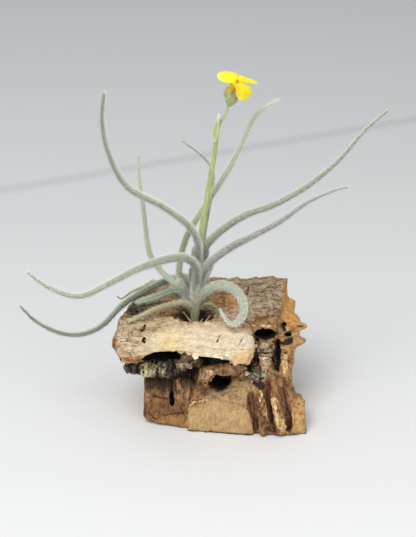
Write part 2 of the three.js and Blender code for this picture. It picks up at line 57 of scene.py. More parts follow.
LEAF_BODY = 0.87  # share of the half width that is leaf, under its coat of hairs
HAIR_LEAN = 0.8  # how far the hairs lean towards the tip
HAIR_TILT = 0.7  # and how far at random, any way
HAIR_SIZES = (0.5, 1.3)  # the shortest and the longest hair, as shares of the given length
UP, FRONT = (0, 0, 1), (0, -1, 0)


# Tools of the bench

def deselect():
    bpy.ops.object.select_all(action="DESELECT")


def take(piece):
    """Makes a piece the only selected one, and the active one."""
    deselect()
    piece.select_set(True)
    bpy.context.view_layer.objects.active = piece


@contextmanager
def editing():
    """Edit mode for the active piece, with all of its mesh selected."""
    bpy.ops.object.mode_set(mode="EDIT")
    bpy.ops.mesh.select_all(action="SELECT")
    yield
    bpy.ops.object.mode_set(mode="OBJECT")


def named(name):
    """Names the piece that was just added."""
    piece = bpy.context.object
    piece.name = name
    piece.data.name = name
    return piece


def copy_of(piece, name):
    """A copy with its own mesh."""
    take(piece)
    bpy.ops.object.duplicate(linked=False)
    return named(name)


def remove(piece):
    bpy.data.objects.remove(piece, do_unlink=True)


def apply(piece, kind, **settings):
    """Adds a modifier and applies it."""
    take(piece)
    modifier = piece.modifiers.new(kind.title(), kind)
    for key, value in settings.items():
        setattr(modifier, key, value)
    bpy.ops.object.modifier_apply(modifier=modifier.name)


def remesh(piece, grain):
    apply(piece, "REMESH", mode="VOXEL", voxel_size=grain * MM)


def join(pieces):
    take(pieces[0])
    for piece in pieces:
        piece.select_set(True)
    bpy.ops.object.join()
    return pieces[0]


def smooth(piece):
    take(piece)
    bpy.ops.object.shade_smooth()


def rows_of(piece, key="co"):
    """Three numbers for each vertex: its place, or with the key "normal" its normal."""
    rows = np.empty(len(piece.data.vertices) * 3)
    piece.data.vertices.foreach_get(key, rows)
    return rows.reshape(-1, 3)


def paint(piece, name, values):
    """Keeps a number, a vector or a colour for each vertex, for the material to read."""
    values = np.asarray(values, np.float32)
    parts = values.size // len(values)
    kind, key = {1: ("FLOAT", "value"), 3: ("FLOAT_VECTOR", "vector"), 4: ("FLOAT_COLOR", "color")}[parts]
    piece.data.attributes.new(name, kind, "POINT").data.foreach_set(key, values.ravel())


def eased(values, low, high):
    share = np.clip((values - low) / (high - low), 0, 1)
    return share * share * (3 - 2 * share)


# Growing a piece along a path

LINE_SPANS = 16  # points of a smooth line for each stretch of its path
WAY_NUDGE = 0.004  # share of the length over which a path's direction is taken
LEAST_HALF = 0.2  # the smallest half width, in millimetres, that a place on a ring is measured against
MARK_BATCH = 4000  # vertices that are marked in one go, to spare memory
NUMBER_FROM = (0.0313, -0.2171, 0.0577)  # a place off every plane of symmetry, so that no two are equally far
TIP_ROUNDING = [(0.5, 0.87), (0.82, 0.57), (1.0, 0.22)]  # share of the tip's length, and of its half width


def smooth_line(path):
    """Points along a centripetal curve through the path's points."""
    p = np.array(path, float) * MM
    p = np.vstack([2 * p[0] - p[1], p, 2 * p[-1] - p[-2]])
    t = np.concatenate([[0], np.cumsum(np.linalg.norm(np.diff(p, axis=0), axis=1) ** 0.5)])
    line = []
    for i in range(1, len(p) - 2):
        s = np.linspace(t[i], t[i + 1], LINE_SPANS, endpoint=False)[:, None]

        def blend(a, b, start, end):
            return ((end - s) * a + (s - start) * b) / (end - start)

        a = [blend(p[k - 1], p[k], t[k - 1], t[k]) for k in (i, i + 1, i + 2)]
        b = [blend(a[k], a[k + 1], t[i - 1 + k], t[i + 1 + k]) for k in (0, 1)]
        line.append(blend(b[0], b[1], t[i], t[i + 1]))
    line.append(p[-2][None])
    return np.vstack(line)


class Ring:
    """One place on a path: where it is, which way the path runs, which side is up, and the half width."""

    def __init__(self, at, along, up, half):
        self.at = Vector(at)
        self.along = Vector(along).normalized()
        self.up = Vector(up)
        self.across = self.along.cross(self.up)
        self.half = half


@dataclass
class Form:
    """What a piece is grown from: a path in millimetres from the root to the tip, the half widths along it,
    its upper side, its finish, and how many hairs a square millimetre carries, of what length."""
    path: list
    half_widths: list
    upper: tuple = UP
    step: float = LEAF_RING  # distance between two rings
    body: float = 1.0  # share of the half widths that is kept
    tip: float = 1.3  # length of the rounded tip, in last half widths
    hairs: float = 0.0
    hair: float = 0.4
    finish: object = None

    def rings(self):
        """Rings along the path, evenly spaced, closing to a rounded tip."""
        line = smooth_line(self.path)
        run = np.concatenate([[0], np.cumsum(np.linalg.norm(np.diff(line, axis=0), axis=1))])
        length = run[-1]
        tip = self.tip * self.half_widths[-1] * MM
        body = np.linspace(0, length - tip, max(4, round((length - tip) / (self.step * MM))) + 1)
        places = np.concatenate([body, [length - tip + share * tip for share, _ in TIP_ROUNDING]])
        known = np.linspace(0, 1, len(self.half_widths))
        width = np.interp(places / length, known, self.half_widths) * self.body
        width[len(body):] *= [share for _, share in TIP_ROUNDING]

        def spots(distances):
            return np.column_stack([np.interp(distances, run, line[:, k]) for k in range(3)])

        ways = spots(places + WAY_NUDGE * length) - spots(places - WAY_NUDGE * length)
        up = Vector(self.upper)
        rings = []
        for at, way, half in zip(spots(places), ways, width * MM):
            along = Vector(way).normalized()
            if rings:
                up = rings[-1].along.rotation_difference(along) @ up
            up = (up - up.dot(along) * along).normalized()
            rings.append(Ring(at, along, up, half))
        return rings


def number_elements():
    """Numbers the elements of the mesh being edited by their distance from one place. Extruding numbers them
    in another order each run, and the hairs are drawn by number."""
    cursor = bpy.context.scene.cursor
    cursor.location = NUMBER_FROM
    bpy.ops.mesh.sort_elements(type="CURSOR_DISTANCE", elements={"VERT", "EDGE", "FACE"})
    cursor.location = (0, 0, 0)


def grow(name, section, rings):
    """Extrudes a copy of a section from ring to ring, turning and resizing it on the way."""
    piece = copy_of(section, name)
    first = rings[0]
    turned = Matrix((first.across, first.up, first.along)).transposed().to_quaternion()
    piece.matrix_world = Matrix.LocRotScale(first.at, turned, (first.half,) * 3)
    bpy.ops.object.transform_apply()
    with editing():
        for now, then in zip(rings, rings[1:]):
            bpy.ops.mesh.extrude_region_move(TRANSFORM_OT_translate={"value": then.at - now.at})
            axis, angle = now.along.rotation_difference(then.along).to_axis_angle()
            if abs(angle) > 1e-5:
                side = axis.orthogonal().normalized()
                bpy.ops.transform.rotate(
                    value=angle,
                    orient_axis="Z",
                    orient_type="GLOBAL",
                    orient_matrix=(side, axis.cross(side), axis),
                    orient_matrix_type="GLOBAL",
                    constraint_axis=(False, False, True),
                    center_override=then.at,
                )
            bpy.ops.transform.resize(value=(then.half / now.half,) * 3, center_override=then.at)
        bpy.ops.mesh.select_all(action="SELECT")
        bpy.ops.mesh.normals_make_consistent(inside=False)
        number_elements()
    return piece


def mark_along(piece, rings):
    """Marks each vertex with its share of the way to the tip, its place on its ring, and the way it leans."""
    at, up, across, along = (np.array([getattr(ring, key) for ring in rings])
                             for key in ("at", "up", "across", "along"))
    half = np.maximum([ring.half for ring in rings], LEAST_HALF * MM)
    points = rows_of(piece)
    parts = np.array_split(points, len(points) // MARK_BATCH + 1)
    nearest = np.concatenate([((part[:, None] - at) ** 2).sum(2).argmin(1) for part in parts])
    offset = (points - at[nearest]) / half[nearest, None]
    paint(piece, "along", nearest / (len(rings) - 1))
    paint(piece, "upper", (offset * up[nearest]).sum(1))
    paint(piece, "across", (offset * across[nearest]).sum(1))
    paint(piece, "lean", along[nearest])


def refine(piece, rings=(), wall=0.0, levels=1):
    """Gives an open piece its wall in millimetres, rounds it off, and marks it along its rings."""
    if wall:
        apply(piece, "SOLIDIFY", thickness=wall * MM, offset=0)
    apply(piece, "SUBSURF", levels=levels, render_levels=levels)
    smooth(piece)
    if rings:
        mark_along(piece, rings)
    return piece


# Sections, of half width 1, with the upper side towards +Y

LEAF_SIDES = 18
LEAF_FLATNESS = 0.86
GROOVE = 0.42  # depth and half width of a leaf's groove
BLADE_CELLS = 8


def round_section(sides):
    deselect()
    bpy.ops.mesh.primitive_circle_add(vertices=sides, radius=1, fill_type="NGON")
    return named("round_section")


def leaf_section():
    """A channelled leaf: round below, with a groove between two lips above."""
    section = round_section(LEAF_SIDES)
    with editing():
        bpy.ops.transform.resize(value=(1, LEAF_FLATNESS, 1))
    for vertex in section.data.vertices:
        if vertex.co.y > 0:
            vertex.co.y -= GROOVE * max(0.0, 1 - (abs(vertex.co.x) / GROOVE) ** 2)
    return section


def blade_section(cup):
    """The open cross-section of a petal or scale: a line whose edges are lifted by cup."""
    deselect()
    bpy.ops.mesh.primitive_grid_add(x_subdivisions=BLADE_CELLS, y_subdivisions=1, size=2)
    section = named("blade_section")
    with editing():
        bpy.ops.transform.resize(value=(1, 0, 1))
        bpy.ops.mesh.remove_doubles(threshold=1e-4)
    for vertex in section.data.vertices:
        vertex.co.y = cup * vertex.co.x ** 2
    return section


def rods(name, forms, sides):
    """Round rods of these forms, joined to one piece."""
    section = round_section(sides)
    made = [grow(name, section, form.rings()) for form in forms]
    remove(section)
    return join(made)


# Nodes

def linear(colour):
    """A linear colour from its hex form."""
    parts = [int(colour[i:i + 2], 16) / 255 for i in (1, 3, 5)]
    return tuple(c / 12.92 if c <= 0.04045 else ((c + 0.055) / 1.055) ** 2.4 for c in parts) + (1.0,)


class Nodes:
    """A node tree, and ways to add nodes to it. A value is a number, a vector, a hex colour or a socket."""

    def __init__(self, tree):
        self.tree = tree

    def feed(self, socket, value):
        if isinstance(value, bpy.types.NodeSocket):
            self.tree.links.new(value, socket)
        elif isinstance(value, str) and value.startswith("#"):
            socket.default_value = linear(value)
        else:
            socket.default_value = value

    def add(self, kind, settings=None, *values, **inputs):
        """Adds a node with its settings, and feeds its inputs in their order or by their names."""
        made = self.tree.nodes.new(kind)
        for key, value in (settings or {}).items():
            setattr(made, key, value)
        for socket, value in zip(made.inputs, values):
            self.feed(socket, value)
        for key, value in inputs.items():
            self.feed(made.inputs[key.replace("_", " ")], value)
        return made

    def use(self, group, **inputs):
        return self.add("ShaderNodeGroup", {"node_tree": group}, **inputs).outputs

    def math(self, operation, *values, clamp=False):
        return self.add("ShaderNodeMath", {"operation": operation, "use_clamp": clamp}, *values).outputs[0]

    def times(self, a, b):
        return self.math("MULTIPLY", a, b)

    def minus(self, a, b):
        return self.math("SUBTRACT", a, b)

    def vector(self, operation, *values):
        made = self.add("ShaderNodeVectorMath", {"operation": operation}, *values)
        return made.outputs["Value" if operation in ("LENGTH", "DOT_PRODUCT") else "Vector"]

    def mix(self, share, a, b, blend="MIX"):
        made = self.add("ShaderNodeMix", {"data_type": "RGBA", "blend_type": blend}, share)
        self.feed(made.inputs[6], a)
        self.feed(made.inputs[7], b)
        return made.outputs[2]

    def dimmed(self, colour, share):
        grey = self.add("ShaderNodeCombineColor", None, share, share, share).outputs[0]
        return self.mix(1.0, colour, grey, "MULTIPLY")

    def ranged(self, value, low, high, to_low=0.0, to_high=1.0):
        """A smooth step: from one number to another as the value goes from low to high."""
        return self.add("ShaderNodeMapRange", {"interpolation_type": "SMOOTHSTEP"},
                        value, low, high, to_low, to_high).outputs[0]

    def place(self):
        return self.add("ShaderNodeTexCoord").outputs["Object"]

    def height(self):
        return self.add("ShaderNodeSeparateXYZ", None, self.place()).outputs["Z"]

    def noise(self, size, detail, rough, stretch=(1, 1, 1), shift=(0, 0, 0), output="Fac"):
        """Noise on object coordinates, with features of a size in millimetres, drawn out by stretch."""
        scale = tuple(1 / (size * MM * s) for s in stretch)
        mapped = self.add("ShaderNodeMapping", Vector=self.place(), Scale=scale, Location=shift).outputs[0]
        made = self.add("ShaderNodeTexNoise", Vector=mapped, Scale=1.0, Detail=detail, Roughness=rough)
        return made.outputs[output]

    def painted(self, name, output="Fac"):
        return self.add("ShaderNodeAttribute", {"attribute_name": name}).outputs[output]


class Finish(Nodes):
    """A material with a plain Principled shader, whose colour is laid on coat by coat."""

    def __init__(self, name, roughness, **constants):
        self.material = bpy.data.materials.new(name)
        self.material.use_nodes = True
        super().__init__(self.material.node_tree)
        self.shader = self.tree.nodes["Principled BSDF"]
        for key, value in {"Roughness": roughness, **constants}.items():
            self.shader.inputs[key.replace("_", " ")].default_value = value

    def ground(self, pattern, dark, light):
        """The first coat: two shades in a pattern."""
        self.colour = self.mix(self.ranged(pattern, 0.3, 0.7), dark, light)

    def coat(self, share, colour, blend="MIX"):
        self.colour = self.mix(share, self.colour, colour, blend)

    def relief(self, height, depth, strength):
        made = self.add("ShaderNodeBump", Height=height, Distance=depth * MM, Strength=strength)
        self.feed(self.shader.inputs["Normal"], made.outputs[0])

    def done(self):
        self.feed(self.shader.inputs["Base Color"], self.colour)
        return self.material


def new_group(name, kind, inputs, outputs):
    """An empty node group, with its nodes for what goes in and out. The inputs' values give their kinds."""
    group = bpy.data.node_groups.new(name, kind)
    nodes = Nodes(group)
    kinds = {type(None): "Geometry", float: "Float", tuple: "Vector", str: "Color"}
    for key, value in inputs.items():
        kind = kinds[type(value)]
        socket = group.interface.new_socket(key, in_out="INPUT", socket_type=f"NodeSocket{kind}")
        if value is not None:
            nodes.feed(socket, value)
    for key, kind in outputs.items():
        group.interface.new_socket(key, in_out="OUTPUT", socket_type=f"NodeSocket{kind}")
    return nodes, group.nodes.new("NodeGroupInput").outputs, group.nodes.new("NodeGroupOutput").inputs


# Shared effects

def make_patch():
    """A ragged-edged patch round a centre, from 1 inside to 0 outside."""
    inputs = {"Centre": (0.0, 0.0, 0.0), "Reach": (0.01, 0.01, 0.01), "Rag": 0.0, "Soft": 0.3}
    patch, given, out = new_group("ragged patch", "ShaderNodeTree", inputs, {"Mask": "Float"})
    offset = patch.vector("SUBTRACT", patch.place(), given["Centre"])
    share = patch.vector("DIVIDE", offset, given["Reach"])
    pushed = patch.math("ADD", patch.vector("LENGTH", share), given["Rag"])
    low, high = (patch.math(way, 1.0, given["Soft"]) for way in ("SUBTRACT", "ADD"))
    patch.feed(out["Mask"], patch.ranged(pushed, low, high, 1.0, 0.0))
    return patch.tree


def make_felt():
    """Leaf felt: pale scales over green, mottled, greener where the coat is thin, finely speckled."""
    inputs = {"Green": "#7f8f55", "Silver": "#c3c7b6", "Cover": 0.55}
    outputs = {"Color": "Color", "Height": "Float"}
    felt, given, out = new_group("silver felt", "ShaderNodeTree", inputs, outputs)
    mottle = felt.noise(1.3, 3.0, 0.7)
    broad = felt.noise(11.0, 2.0, 0.5, shift=(3, 1, 2))
    thin = felt.math("MULTIPLY_ADD", felt.minus(mottle, 0.5), 0.7, given["Cover"])
    thin = felt.math("MULTIPLY_ADD", felt.minus(broad, 0.5), 1.6, thin, clamp=True)
    fine = felt.noise(0.42, 2.0, 0.7)
    body = felt.dimmed(felt.mix(thin, given["Green"], given["Silver"]), felt.ranged(fine, 0.3, 0.7, 0.8, 1.1))
    scales = felt.times(felt.ranged(fine, 0.54, 0.64), 0.6)
    felt.feed(out["Color"], felt.mix(scales, body, "#e3e4dd"))
    felt.feed(out["Height"], mottle)
    return felt.tree


def make_hairs():
    """Sets leaning spikes, small closed cones, all over a piece and marks them with the value hair."""
    inputs = {"Geometry": None, "Density": 0.0, "Length": 0.0}
    hairs, given, out = new_group("scale hairs", "GeometryNodeTree", inputs, {"Geometry": "Geometry"})
    spread = hairs.add("GeometryNodeDistributePointsOnFaces", Mesh=given["Geometry"],
                       Density=given["Density"], Seed=SEED)
    spike = hairs.add("GeometryNodeMeshCone", {"fill_type": "NGON"}, Vertices=3, Side_Segments=1,
                      Radius_Top=0.0, Radius_Bottom=HAIR_WIDTH * MM, Depth=given["Length"])
    lean = hairs.add("GeometryNodeInputNamedAttribute", {"data_type": "FLOAT_VECTOR"}, Name="lean")
    leaning = hairs.add("ShaderNodeVectorMath", {"operation": "SCALE"}, lean.outputs["Attribute"],
                        Scale=HAIR_LEAN)
    tilt = hairs.add("FunctionNodeRandomValue", {"data_type": "FLOAT_VECTOR"}, (-HAIR_TILT,) * 3,
                     (HAIR_TILT,) * 3, Seed=SEED)
    way = hairs.vector("ADD", spread.outputs["Normal"], leaning.outputs[0])
    way = hairs.vector("ADD", way, tilt.outputs[0])
    turn = hairs.add("FunctionNodeAlignRotationToVector", {"axis": "Z"}, Vector=way)
    size = hairs.add("FunctionNodeRandomValue", {"data_type": "FLOAT"}, Seed=SEED)
    for socket, share in zip(size.inputs[2:4], HAIR_SIZES):
        socket.default_value = share
    placed = hairs.add("GeometryNodeInstanceOnPoints", Points=spread.outputs["Points"],
                       Instance=spike.outputs["Mesh"], Rotation=turn.outputs[0], Scale=size.outputs[1])
    real = hairs.add("GeometryNodeRealizeInstances", None, placed.outputs[0])
    marked = hairs.add("GeometryNodeStoreNamedAttribute", {"data_type": "FLOAT", "domain": "POINT"},
                       real.outputs[0], Name="hair", Value=1.0)
    both = hairs.add("GeometryNodeJoinGeometry", None, marked.outputs[0])
    hairs.feed(both.inputs[0], given["Geometry"])
    hairs.feed(out["Geometry"], both.outputs[0])
    return hairs.tree


PATCH = make_patch()
FELT = make_felt()
HAIRS = make_hairs()


def set_hairs(piece, per_mm2, length):
    """Sets hairs on a piece, so many to a square millimetre, of a length in millimetres."""
    take(piece)
    modifier = piece.modifiers.new("Hairs", "NODES")
    modifier.node_group = HAIRS
    modifier[HAIRS.interface.items_tree["Density"].identifier] = per_mm2 / MM ** 2
    modifier[HAIRS.interface.items_tree["Length"].identifier] = length * MM
    bpy.ops.object.modifier_apply(modifier=modifier.name)


# Finishes of the plant

def felt_finish(name, green, silver, cover, foot=None, under=0.6, stripe=0.25, lines=0.0, fuzz="#f4f5ee",
                pale=0.45):
    """Felt, with painted shade below, greener in the groove, paler outwards, with long lines and a foot if
    given.
    """
    leaf = Finish(name, 0.85, Sheen_Weight=0.6, Sheen_Roughness=0.5)
    felt = leaf.use(FELT, Green=green, Silver=silver, Cover=cover)
    upper, across = leaf.painted("upper"), leaf.painted("across")
    middle = leaf.ranged(leaf.math("ABSOLUTE", across), 0.1, 0.45, 1.0, 0.0)
    groove = leaf.times(leaf.ranged(upper, 0.2, 0.55), middle)
    leaf.colour = leaf.mix(leaf.times(groove, stripe), felt["Color"], "#8ea05c")
    outer = leaf.ranged(leaf.painted("along"), 0.3, 1.0, 0.0, pale)
    leaf.coat(outer, tuple((a + b) / 2 for a, b in zip(linear(silver), linear(fuzz))))
    # painted shade: darker on the underside, a little lighter on the upper side
    leaf.colour = leaf.dimmed(leaf.colour, leaf.ranged(upper, -0.9, 0.75, under, 1.06))
    # the pale hairs count for less towards the underside, so the painted shade shows through them there
    leaf.coat(leaf.times(leaf.painted("hair"), leaf.ranged(upper, -0.6, 0.4, 0.6, 0.95)), fuzz)
    if lines:
        wave = leaf.math("SINE", leaf.times(across, 10.0))
        leaf.coat(leaf.ranged(wave, 0.0, 0.7, 0.0, lines), "#4a5a3e")
    if foot:
        leaf.coat(leaf.ranged(leaf.height(), 0.05, 0.062, 0.75, 0.0), foot)
    leaf.relief(felt["Height"], 0.25, 0.5)
    return leaf.done()


def calyx_finish():
    """Grey green felt, with warm golden sepal tips."""
    calyx = Finish("felted calyx", 0.85, Sheen_Weight=0.2)
    mottle = calyx.noise(0.9, 4.0, 0.6)
    calyx.ground(mottle, "#8f9a66", "#aeb680")
    calyx.coat(calyx.ranged(calyx.painted("sepal"), 0.35, 0.8, 0.0, 0.9), "#dfa63c")
    calyx.coat(calyx.painted("hair"), "#d9dcc6")
    calyx.relief(mottle, 0.2, 0.5)
    return calyx.done()


def stem_finish():
    """Fresh green, streaked lengthwise, paler under the flower."""
    stem = Finish("fresh green stem", 0.55, Sheen_Weight=0.2)
    streaks = stem.noise(0.9, 3.0, 0.6, stretch=(1, 1, 9))
    stem.ground(streaks, "#92a657", "#b5c686")
    stem.coat(stem.ranged(stem.painted("along"), 0.7, 0.9, 0.0, 0.75), "#aeb698")
    stem.coat(stem.painted("hair"), "#dfe5cf")
    stem.relief(streaks, 0.1, 0.4)
    return stem.done()


def bract_finish():
    """Green and thin below, papery white at the tip."""
    bract = Finish("papery bract", 0.7, Sheen_Weight=0.2)
    streaks = bract.noise(1.2, 4.0, 0.6, stretch=(1, 1, 5))
    bract.ground(streaks, "#9db165", "#c3d09a")
    bract.coat(bract.ranged(bract.painted("along"), 0.55, 0.95, 0.0, 0.9), "#e6e6dc")
    bract.coat(bract.painted("hair"), "#dfe3d2")
    bract.relief(streaks, 0.15, 0.5)
    return bract.done()


def petal_finish(name, clear, deep):
    """Clear yellow, deeper along the veins, with painted shade towards one edge and in the fold of the
    throat, tan at the claw.
    """
    petal = Finish(name, 0.55, Subsurface_Weight=0.25, Subsurface_Scale=0.001,
                   Subsurface_Radius=(1.0, 0.8, 0.05), Sheen_Weight=0.1)
    along, side = petal.painted("along"), petal.painted("across")
    spread = petal.add("ShaderNodeCombineXYZ", None, side, petal.times(along, 0.4)).outputs[0]
    veins = petal.add("ShaderNodeTexWave", {"wave_type": "BANDS", "bands_direction": "X"}, Vector=spread,
                      Scale=2.4, Distortion=1.2, Detail=2.0).outputs["Fac"]
    petal.colour = petal.mix(petal.ranged(veins, 0.2, 0.9, 0.0, 0.25), clear, deep)
    # painted shade, deeper yellow towards one edge
    petal.coat(petal.ranged(side, 0.1, 0.9, 0.0, 0.7), deep)
    petal.coat(petal.ranged(along, 0.86, 1.0, 0.0, 0.5), "#f7f3a6")
    # painted shade of the fold, deeper yellow in the throat
    petal.coat(petal.ranged(along, 0.32, 0.5, 0.85, 0.0), "#f2cc00")
    petal.coat(petal.ranged(along, 0.08, 0.2, 1.0, 0.0), "#c79a68")
    petal.relief(veins, 0.1, 0.4)
    return petal.done()


def plain_finish(name, light, dark, size, stretch=(1, 1, 1)):
    """Two shades of one colour, mottled at a size, with a bump of the same pattern."""
    plain = Finish(name, 0.8)
    mottle = plain.noise(size, 4.0, 0.6, stretch)
    plain.ground(mottle, dark, light)
    plain.coat(plain.times(plain.painted("hair"), 0.7), "#dcdccb")
    plain.relief(mottle, 0.2, 0.5)
    return plain.done()


SILVER = felt_finish("silver felt leaf", "#66744b", "#989e88", 0.52, under=0.42, pale=0.12)
PALE = felt_finish("pale felt leaf", "#83935f", "#bcc4a8", 0.5, under=0.7, pale=0.45)
FRESH = felt_finish("fresh green felt leaf", "#71834a", "#9ba57e", 0.4, under=0.6, stripe=0.6, pale=0.8)
BRIGHT = felt_finish("bright felt leaf", "#788359", "#a5aa92", 0.52, under=0.55, pale=0.3)
MAUVE = felt_finish("mauve grey felt leaf", "#6d6f66", "#93938d", 0.5, under=0.45, pale=0.3)
GREY_GREEN = felt_finish("grey green felt leaf", "#68785b", "#a6af9a", 0.4, under=0.55, lines=0.6,
                         fuzz="#d6dccd", pale=0.6)
STRAW_GREEN = felt_finish("straw green felt leaf", "#8a8454", "#cac197", 0.45, under=0.6, fuzz="#dcd5b4")
SHOOT = felt_finish("felted shoot", "#757a5a", "#a9ab9a", 0.5, "#85844f", 0.8, stripe=0, pale=0)
STEM = stem_finish()
PETAL = petal_finish("clear yellow petal", "#fdf408", "#f3de00")
DEEP_PETAL = petal_finish("deep yellow petal", "#fbea00", "#dcb400")
CALYX = calyx_finish()
BRACT = bract_finish()
OLD = plain_finish("old olive leaf", "#8f8d5c", "#66663e", 1.0, (4, 4, 1))
GREY_DRY = plain_finish("old grey leaf", "#b4ab88", "#8b826a", 1.0, (4, 4, 1))
STRAW = plain_finish("straw root", "#e6dcc0", "#b39a6d", 0.8)
STAMEN = plain_finish("golden stamen", "#d9a92a", "#b98512", 0.4)


# The plant, each path from the root to the tip, as the solids have them

@dataclass
class Leaf(Form):
    """A felted leaf, slimmer than its outline by its coat of hairs."""
    body: float = LEAF_BODY
    hairs: float = 8.5
    hair: float = 1.15
    finish: object = SILVER


@dataclass
class Petal(Form):
    """A petal, with closer rings and a blunter tip."""
    step: float = 0.8
    tip: float = 0.75
    finish: object = PETAL


SHOOTS = {
    "main_shoot": Leaf(
        [[-15, -7, 46], [-14.8, -5.5, 56], [-14, -3.5, 64], [-13.2, -2, 71], [-12.7, -1.2, 76]],
        [1.3, 2.1, 2.8, 2.9, 2.7], upper=FRONT, step=1.5, hairs=9, hair=1.2),
    "side_shoot": Leaf(
        [[-16, -6, 52], [-18.5, -2.5, 57], [-21, 1, 61], [-22, 3, 64]],
        [1.3, 2.1, 2.4, 2.1], upper=FRONT, step=1.5, hairs=9, hair=1.2),
}

# The leaves whose bases wrap each shoot
SHEATHED = {
    "main_shoot": ["leaf_low_right", "leaf_arch_left", "leaf_high_left", "leaf_long_right", "leaf_curl"],
    "side_shoot": ["leaf_channelled", "leaf_upright_left", "leaf_rear_right"],
}

FLOWER_STEM = Form(
    [[-12.8, -1.5, 70], [-12, -1, 87], [-9.2, -1, 106], [-6.4, -1, 124], [-4, -1, 138.5], [-2.2, -1, 141.2],
     [-0.3, -1, 146.6]],
    [1.35, 1.35, 1.3, 1.25, 1.2, 1.15, 1.0, 0.65, 0.65], FRONT, hairs=2)

LEAVES = {
    "leaf_low_right": Leaf(
        [[-12.8, -3, 66], [-9.5, -5, 74], [0, -8, 83.6], [9.5, -11, 90.3], [22, -13, 98.4],
         [33, -15, 107.8], [44, -17, 114], [50, -18, 116]],
        [2.3, 2.4, 2.2, 1.8, 1.5, 1.2, 0.8, 0.5], upper=(-0.5, 0, 1), finish=MAUVE),
    "leaf_arch_left": Leaf(
        [[-13.8, -4, 65], [-14, -7, 74], [-18, -10, 79.7], [-24, -14, 81.8], [-38, -24, 81.5],
         [-50.5, -33, 78.4], [-63, -37, 74.2], [-76, -36, 78], [-85, -32, 83]],
        [2.2, 2.3, 2.2, 1.9, 1.6, 1.45, 1.3, 1.0, 0.55], upper=(0.6, 0, 1), hairs=10),
    "leaf_high_left": Leaf(
        [[-13.3, -2.5, 72], [-13, -3.5, 82], [-16, -4, 91], [-28, -4, 101.5], [-44, -4, 111],
         [-51.5, -5, 127], [-53.5, -6, 141], [-52, -8, 154]],
        [2, 2.1, 2, 1.9, 1.8, 1.6, 1.4, 1.2, 0.95], upper=(0.6, 0, 1), body=0.8, hairs=12, hair=1.3),
    "leaf_long_right": Leaf(
        [[-13, 0, 70], [-11, 0, 79.5], [-4.5, 1, 87.3], [8, 2.5, 95.5], [19, 4, 99], [33.5, 6, 106.6],
         [48, 8, 118.5], [60, 10, 132.5], [69.5, 12, 140.5]],
        [2.2, 2.3, 2.1, 1.8, 1.6, 1.35, 1.1, 0.8, 0.5], upper=(-0.6, 0, 1)),
    "leaf_thin_back": Leaf(
        [[-12.3, 1, 70], [-11.5, 5, 78], [-9, 12, 92], [-6.5, 17, 105], [-7, 19.5, 110.5],
         [-11.5, 21, 116.5], [-21, 22, 123.7]],
        [1.1, 1, 0.8, 0.75, 0.7, 0.6, 0.5], upper=(0.5, -1, 0), hair=0.55),
    "leaf_upright_left": Leaf(
        [[-20.5, 0, 58.5], [-24, 2.5, 61.8], [-31, 5.5, 67.5], [-35.3, 7, 74], [-36.8, 8, 83], [-38, 8, 98],
         [-39.6, 9, 112], [-39.3, 9, 121.5]],
        [1.9, 1.9, 1.8, 1.6, 1.4, 1.2, 1, 0.8], upper=(0.3, -0.6, 1), body=0.7, finish=PALE),
    "leaf_rear_right": Leaf(
        [[-20.8, 1.5, 58], [-22.3, 5, 64], [-22, 6.5, 70], [-19, 8, 82], [-9.5, 8, 99], [1.5, 8, 117.5],
         [9.5, 8, 135.5], [14, 7.5, 142], [21.5, 6, 147]],
        [1.9, 1.9, 1.8, 1.7, 1.6, 1.5, 1.3, 1.1, 0.8], upper=(-0.6, 0, 1), body=0.74, finish=FRESH),
    "leaf_low_left": Leaf(
        [[-14.5, 0, 62], [-20, 7, 63.2], [-34, 9.5, 57.4], [-48, 4, 50.6], [-57, -2, 43.2], [-64, -4, 40],
         [-73, -6, 40.2], [-86, -9, 48], [-93, -10, 56.6]],
        [1.8, 1.8, 1.75, 1.65, 1.45, 1.25, 1.05, 0.8, 0.45], upper=(0.5, 0.3, 1), finish=GREY_GREEN),
    "leaf_curl": Leaf(
        [[-12.8, -4, 58], [-9, -7, 63.4], [-4.5, -9.3, 66.5], [0, -11, 66.8], [4, -13.2, 64.8],
         [6.6, -16, 60.5], [6.3, -18.6, 56.3], [3.8, -20, 53.4], [1, -20, 52.6], [-1.3, -18, 54.4],
         [-3.6, -14, 57.2]],
        [2.3, 2.35, 2.35, 2.3, 2.2, 2, 1.9, 1.6, 1.1, 0.7, 0.5], upper=(0.3, -0.5, 1), step=1.4,
        finish=BRIGHT),
    "leaf_low_front": Leaf(
        [[-16.3, -6, 54], [-18.5, -8, 56.6], [-21.3, -9, 57.9], [-27.5, -10, 56.8], [-33, -11, 55.2],
         [-38.5, -12, 52.8], [-44.7, -14, 50.4]],
        [1.5, 1.5, 1.5, 1.45, 1.4, 1.2], step=1.6, hairs=4, finish=STRAW_GREEN),
    "leaf_channelled": Leaf(
        [[-17, -2.5, 56], [-20, -2, 59.4], [-23, -1, 60.3], [-27, 0, 58.7], [-33, 1, 55.6],
         [-38, 1.5, 53.8], [-42.5, 1.5, 52.4]],
        [1.9, 2.1, 2.2, 2.2, 2, 1.3], upper=(0, -0.4, 1), step=1.6, hairs=4, finish=GREY_GREEN),
}

OLD_LEAVES = {
    "leaf_old": Form(
        [[-12, -6.5, 54], [-9.8, -9, 57.3], [-7.8, -10, 57.8], [-5.3, -11, 56.5], [-4.9, -11.8, 54],
         [-6.3, -12.3, 51.5]],
        [0.8, 0.8, 0.75, 0.7, 0.6], upper=FRONT, finish=OLD, step=1.0, hairs=1.2),
    "leaf_dry": Form(
        [[-22, 6, 59], [-26, 11, 58.6], [-34, 12.8, 57.4], [-44, 9.5, 54.6], [-49.5, 7.5, 51.8],
         [-51, 7, 53.6]],
        [0.9, 0.8, 0.7, 0.55, 0.35], finish=GREY_DRY, step=1.0, hairs=1.2),
}

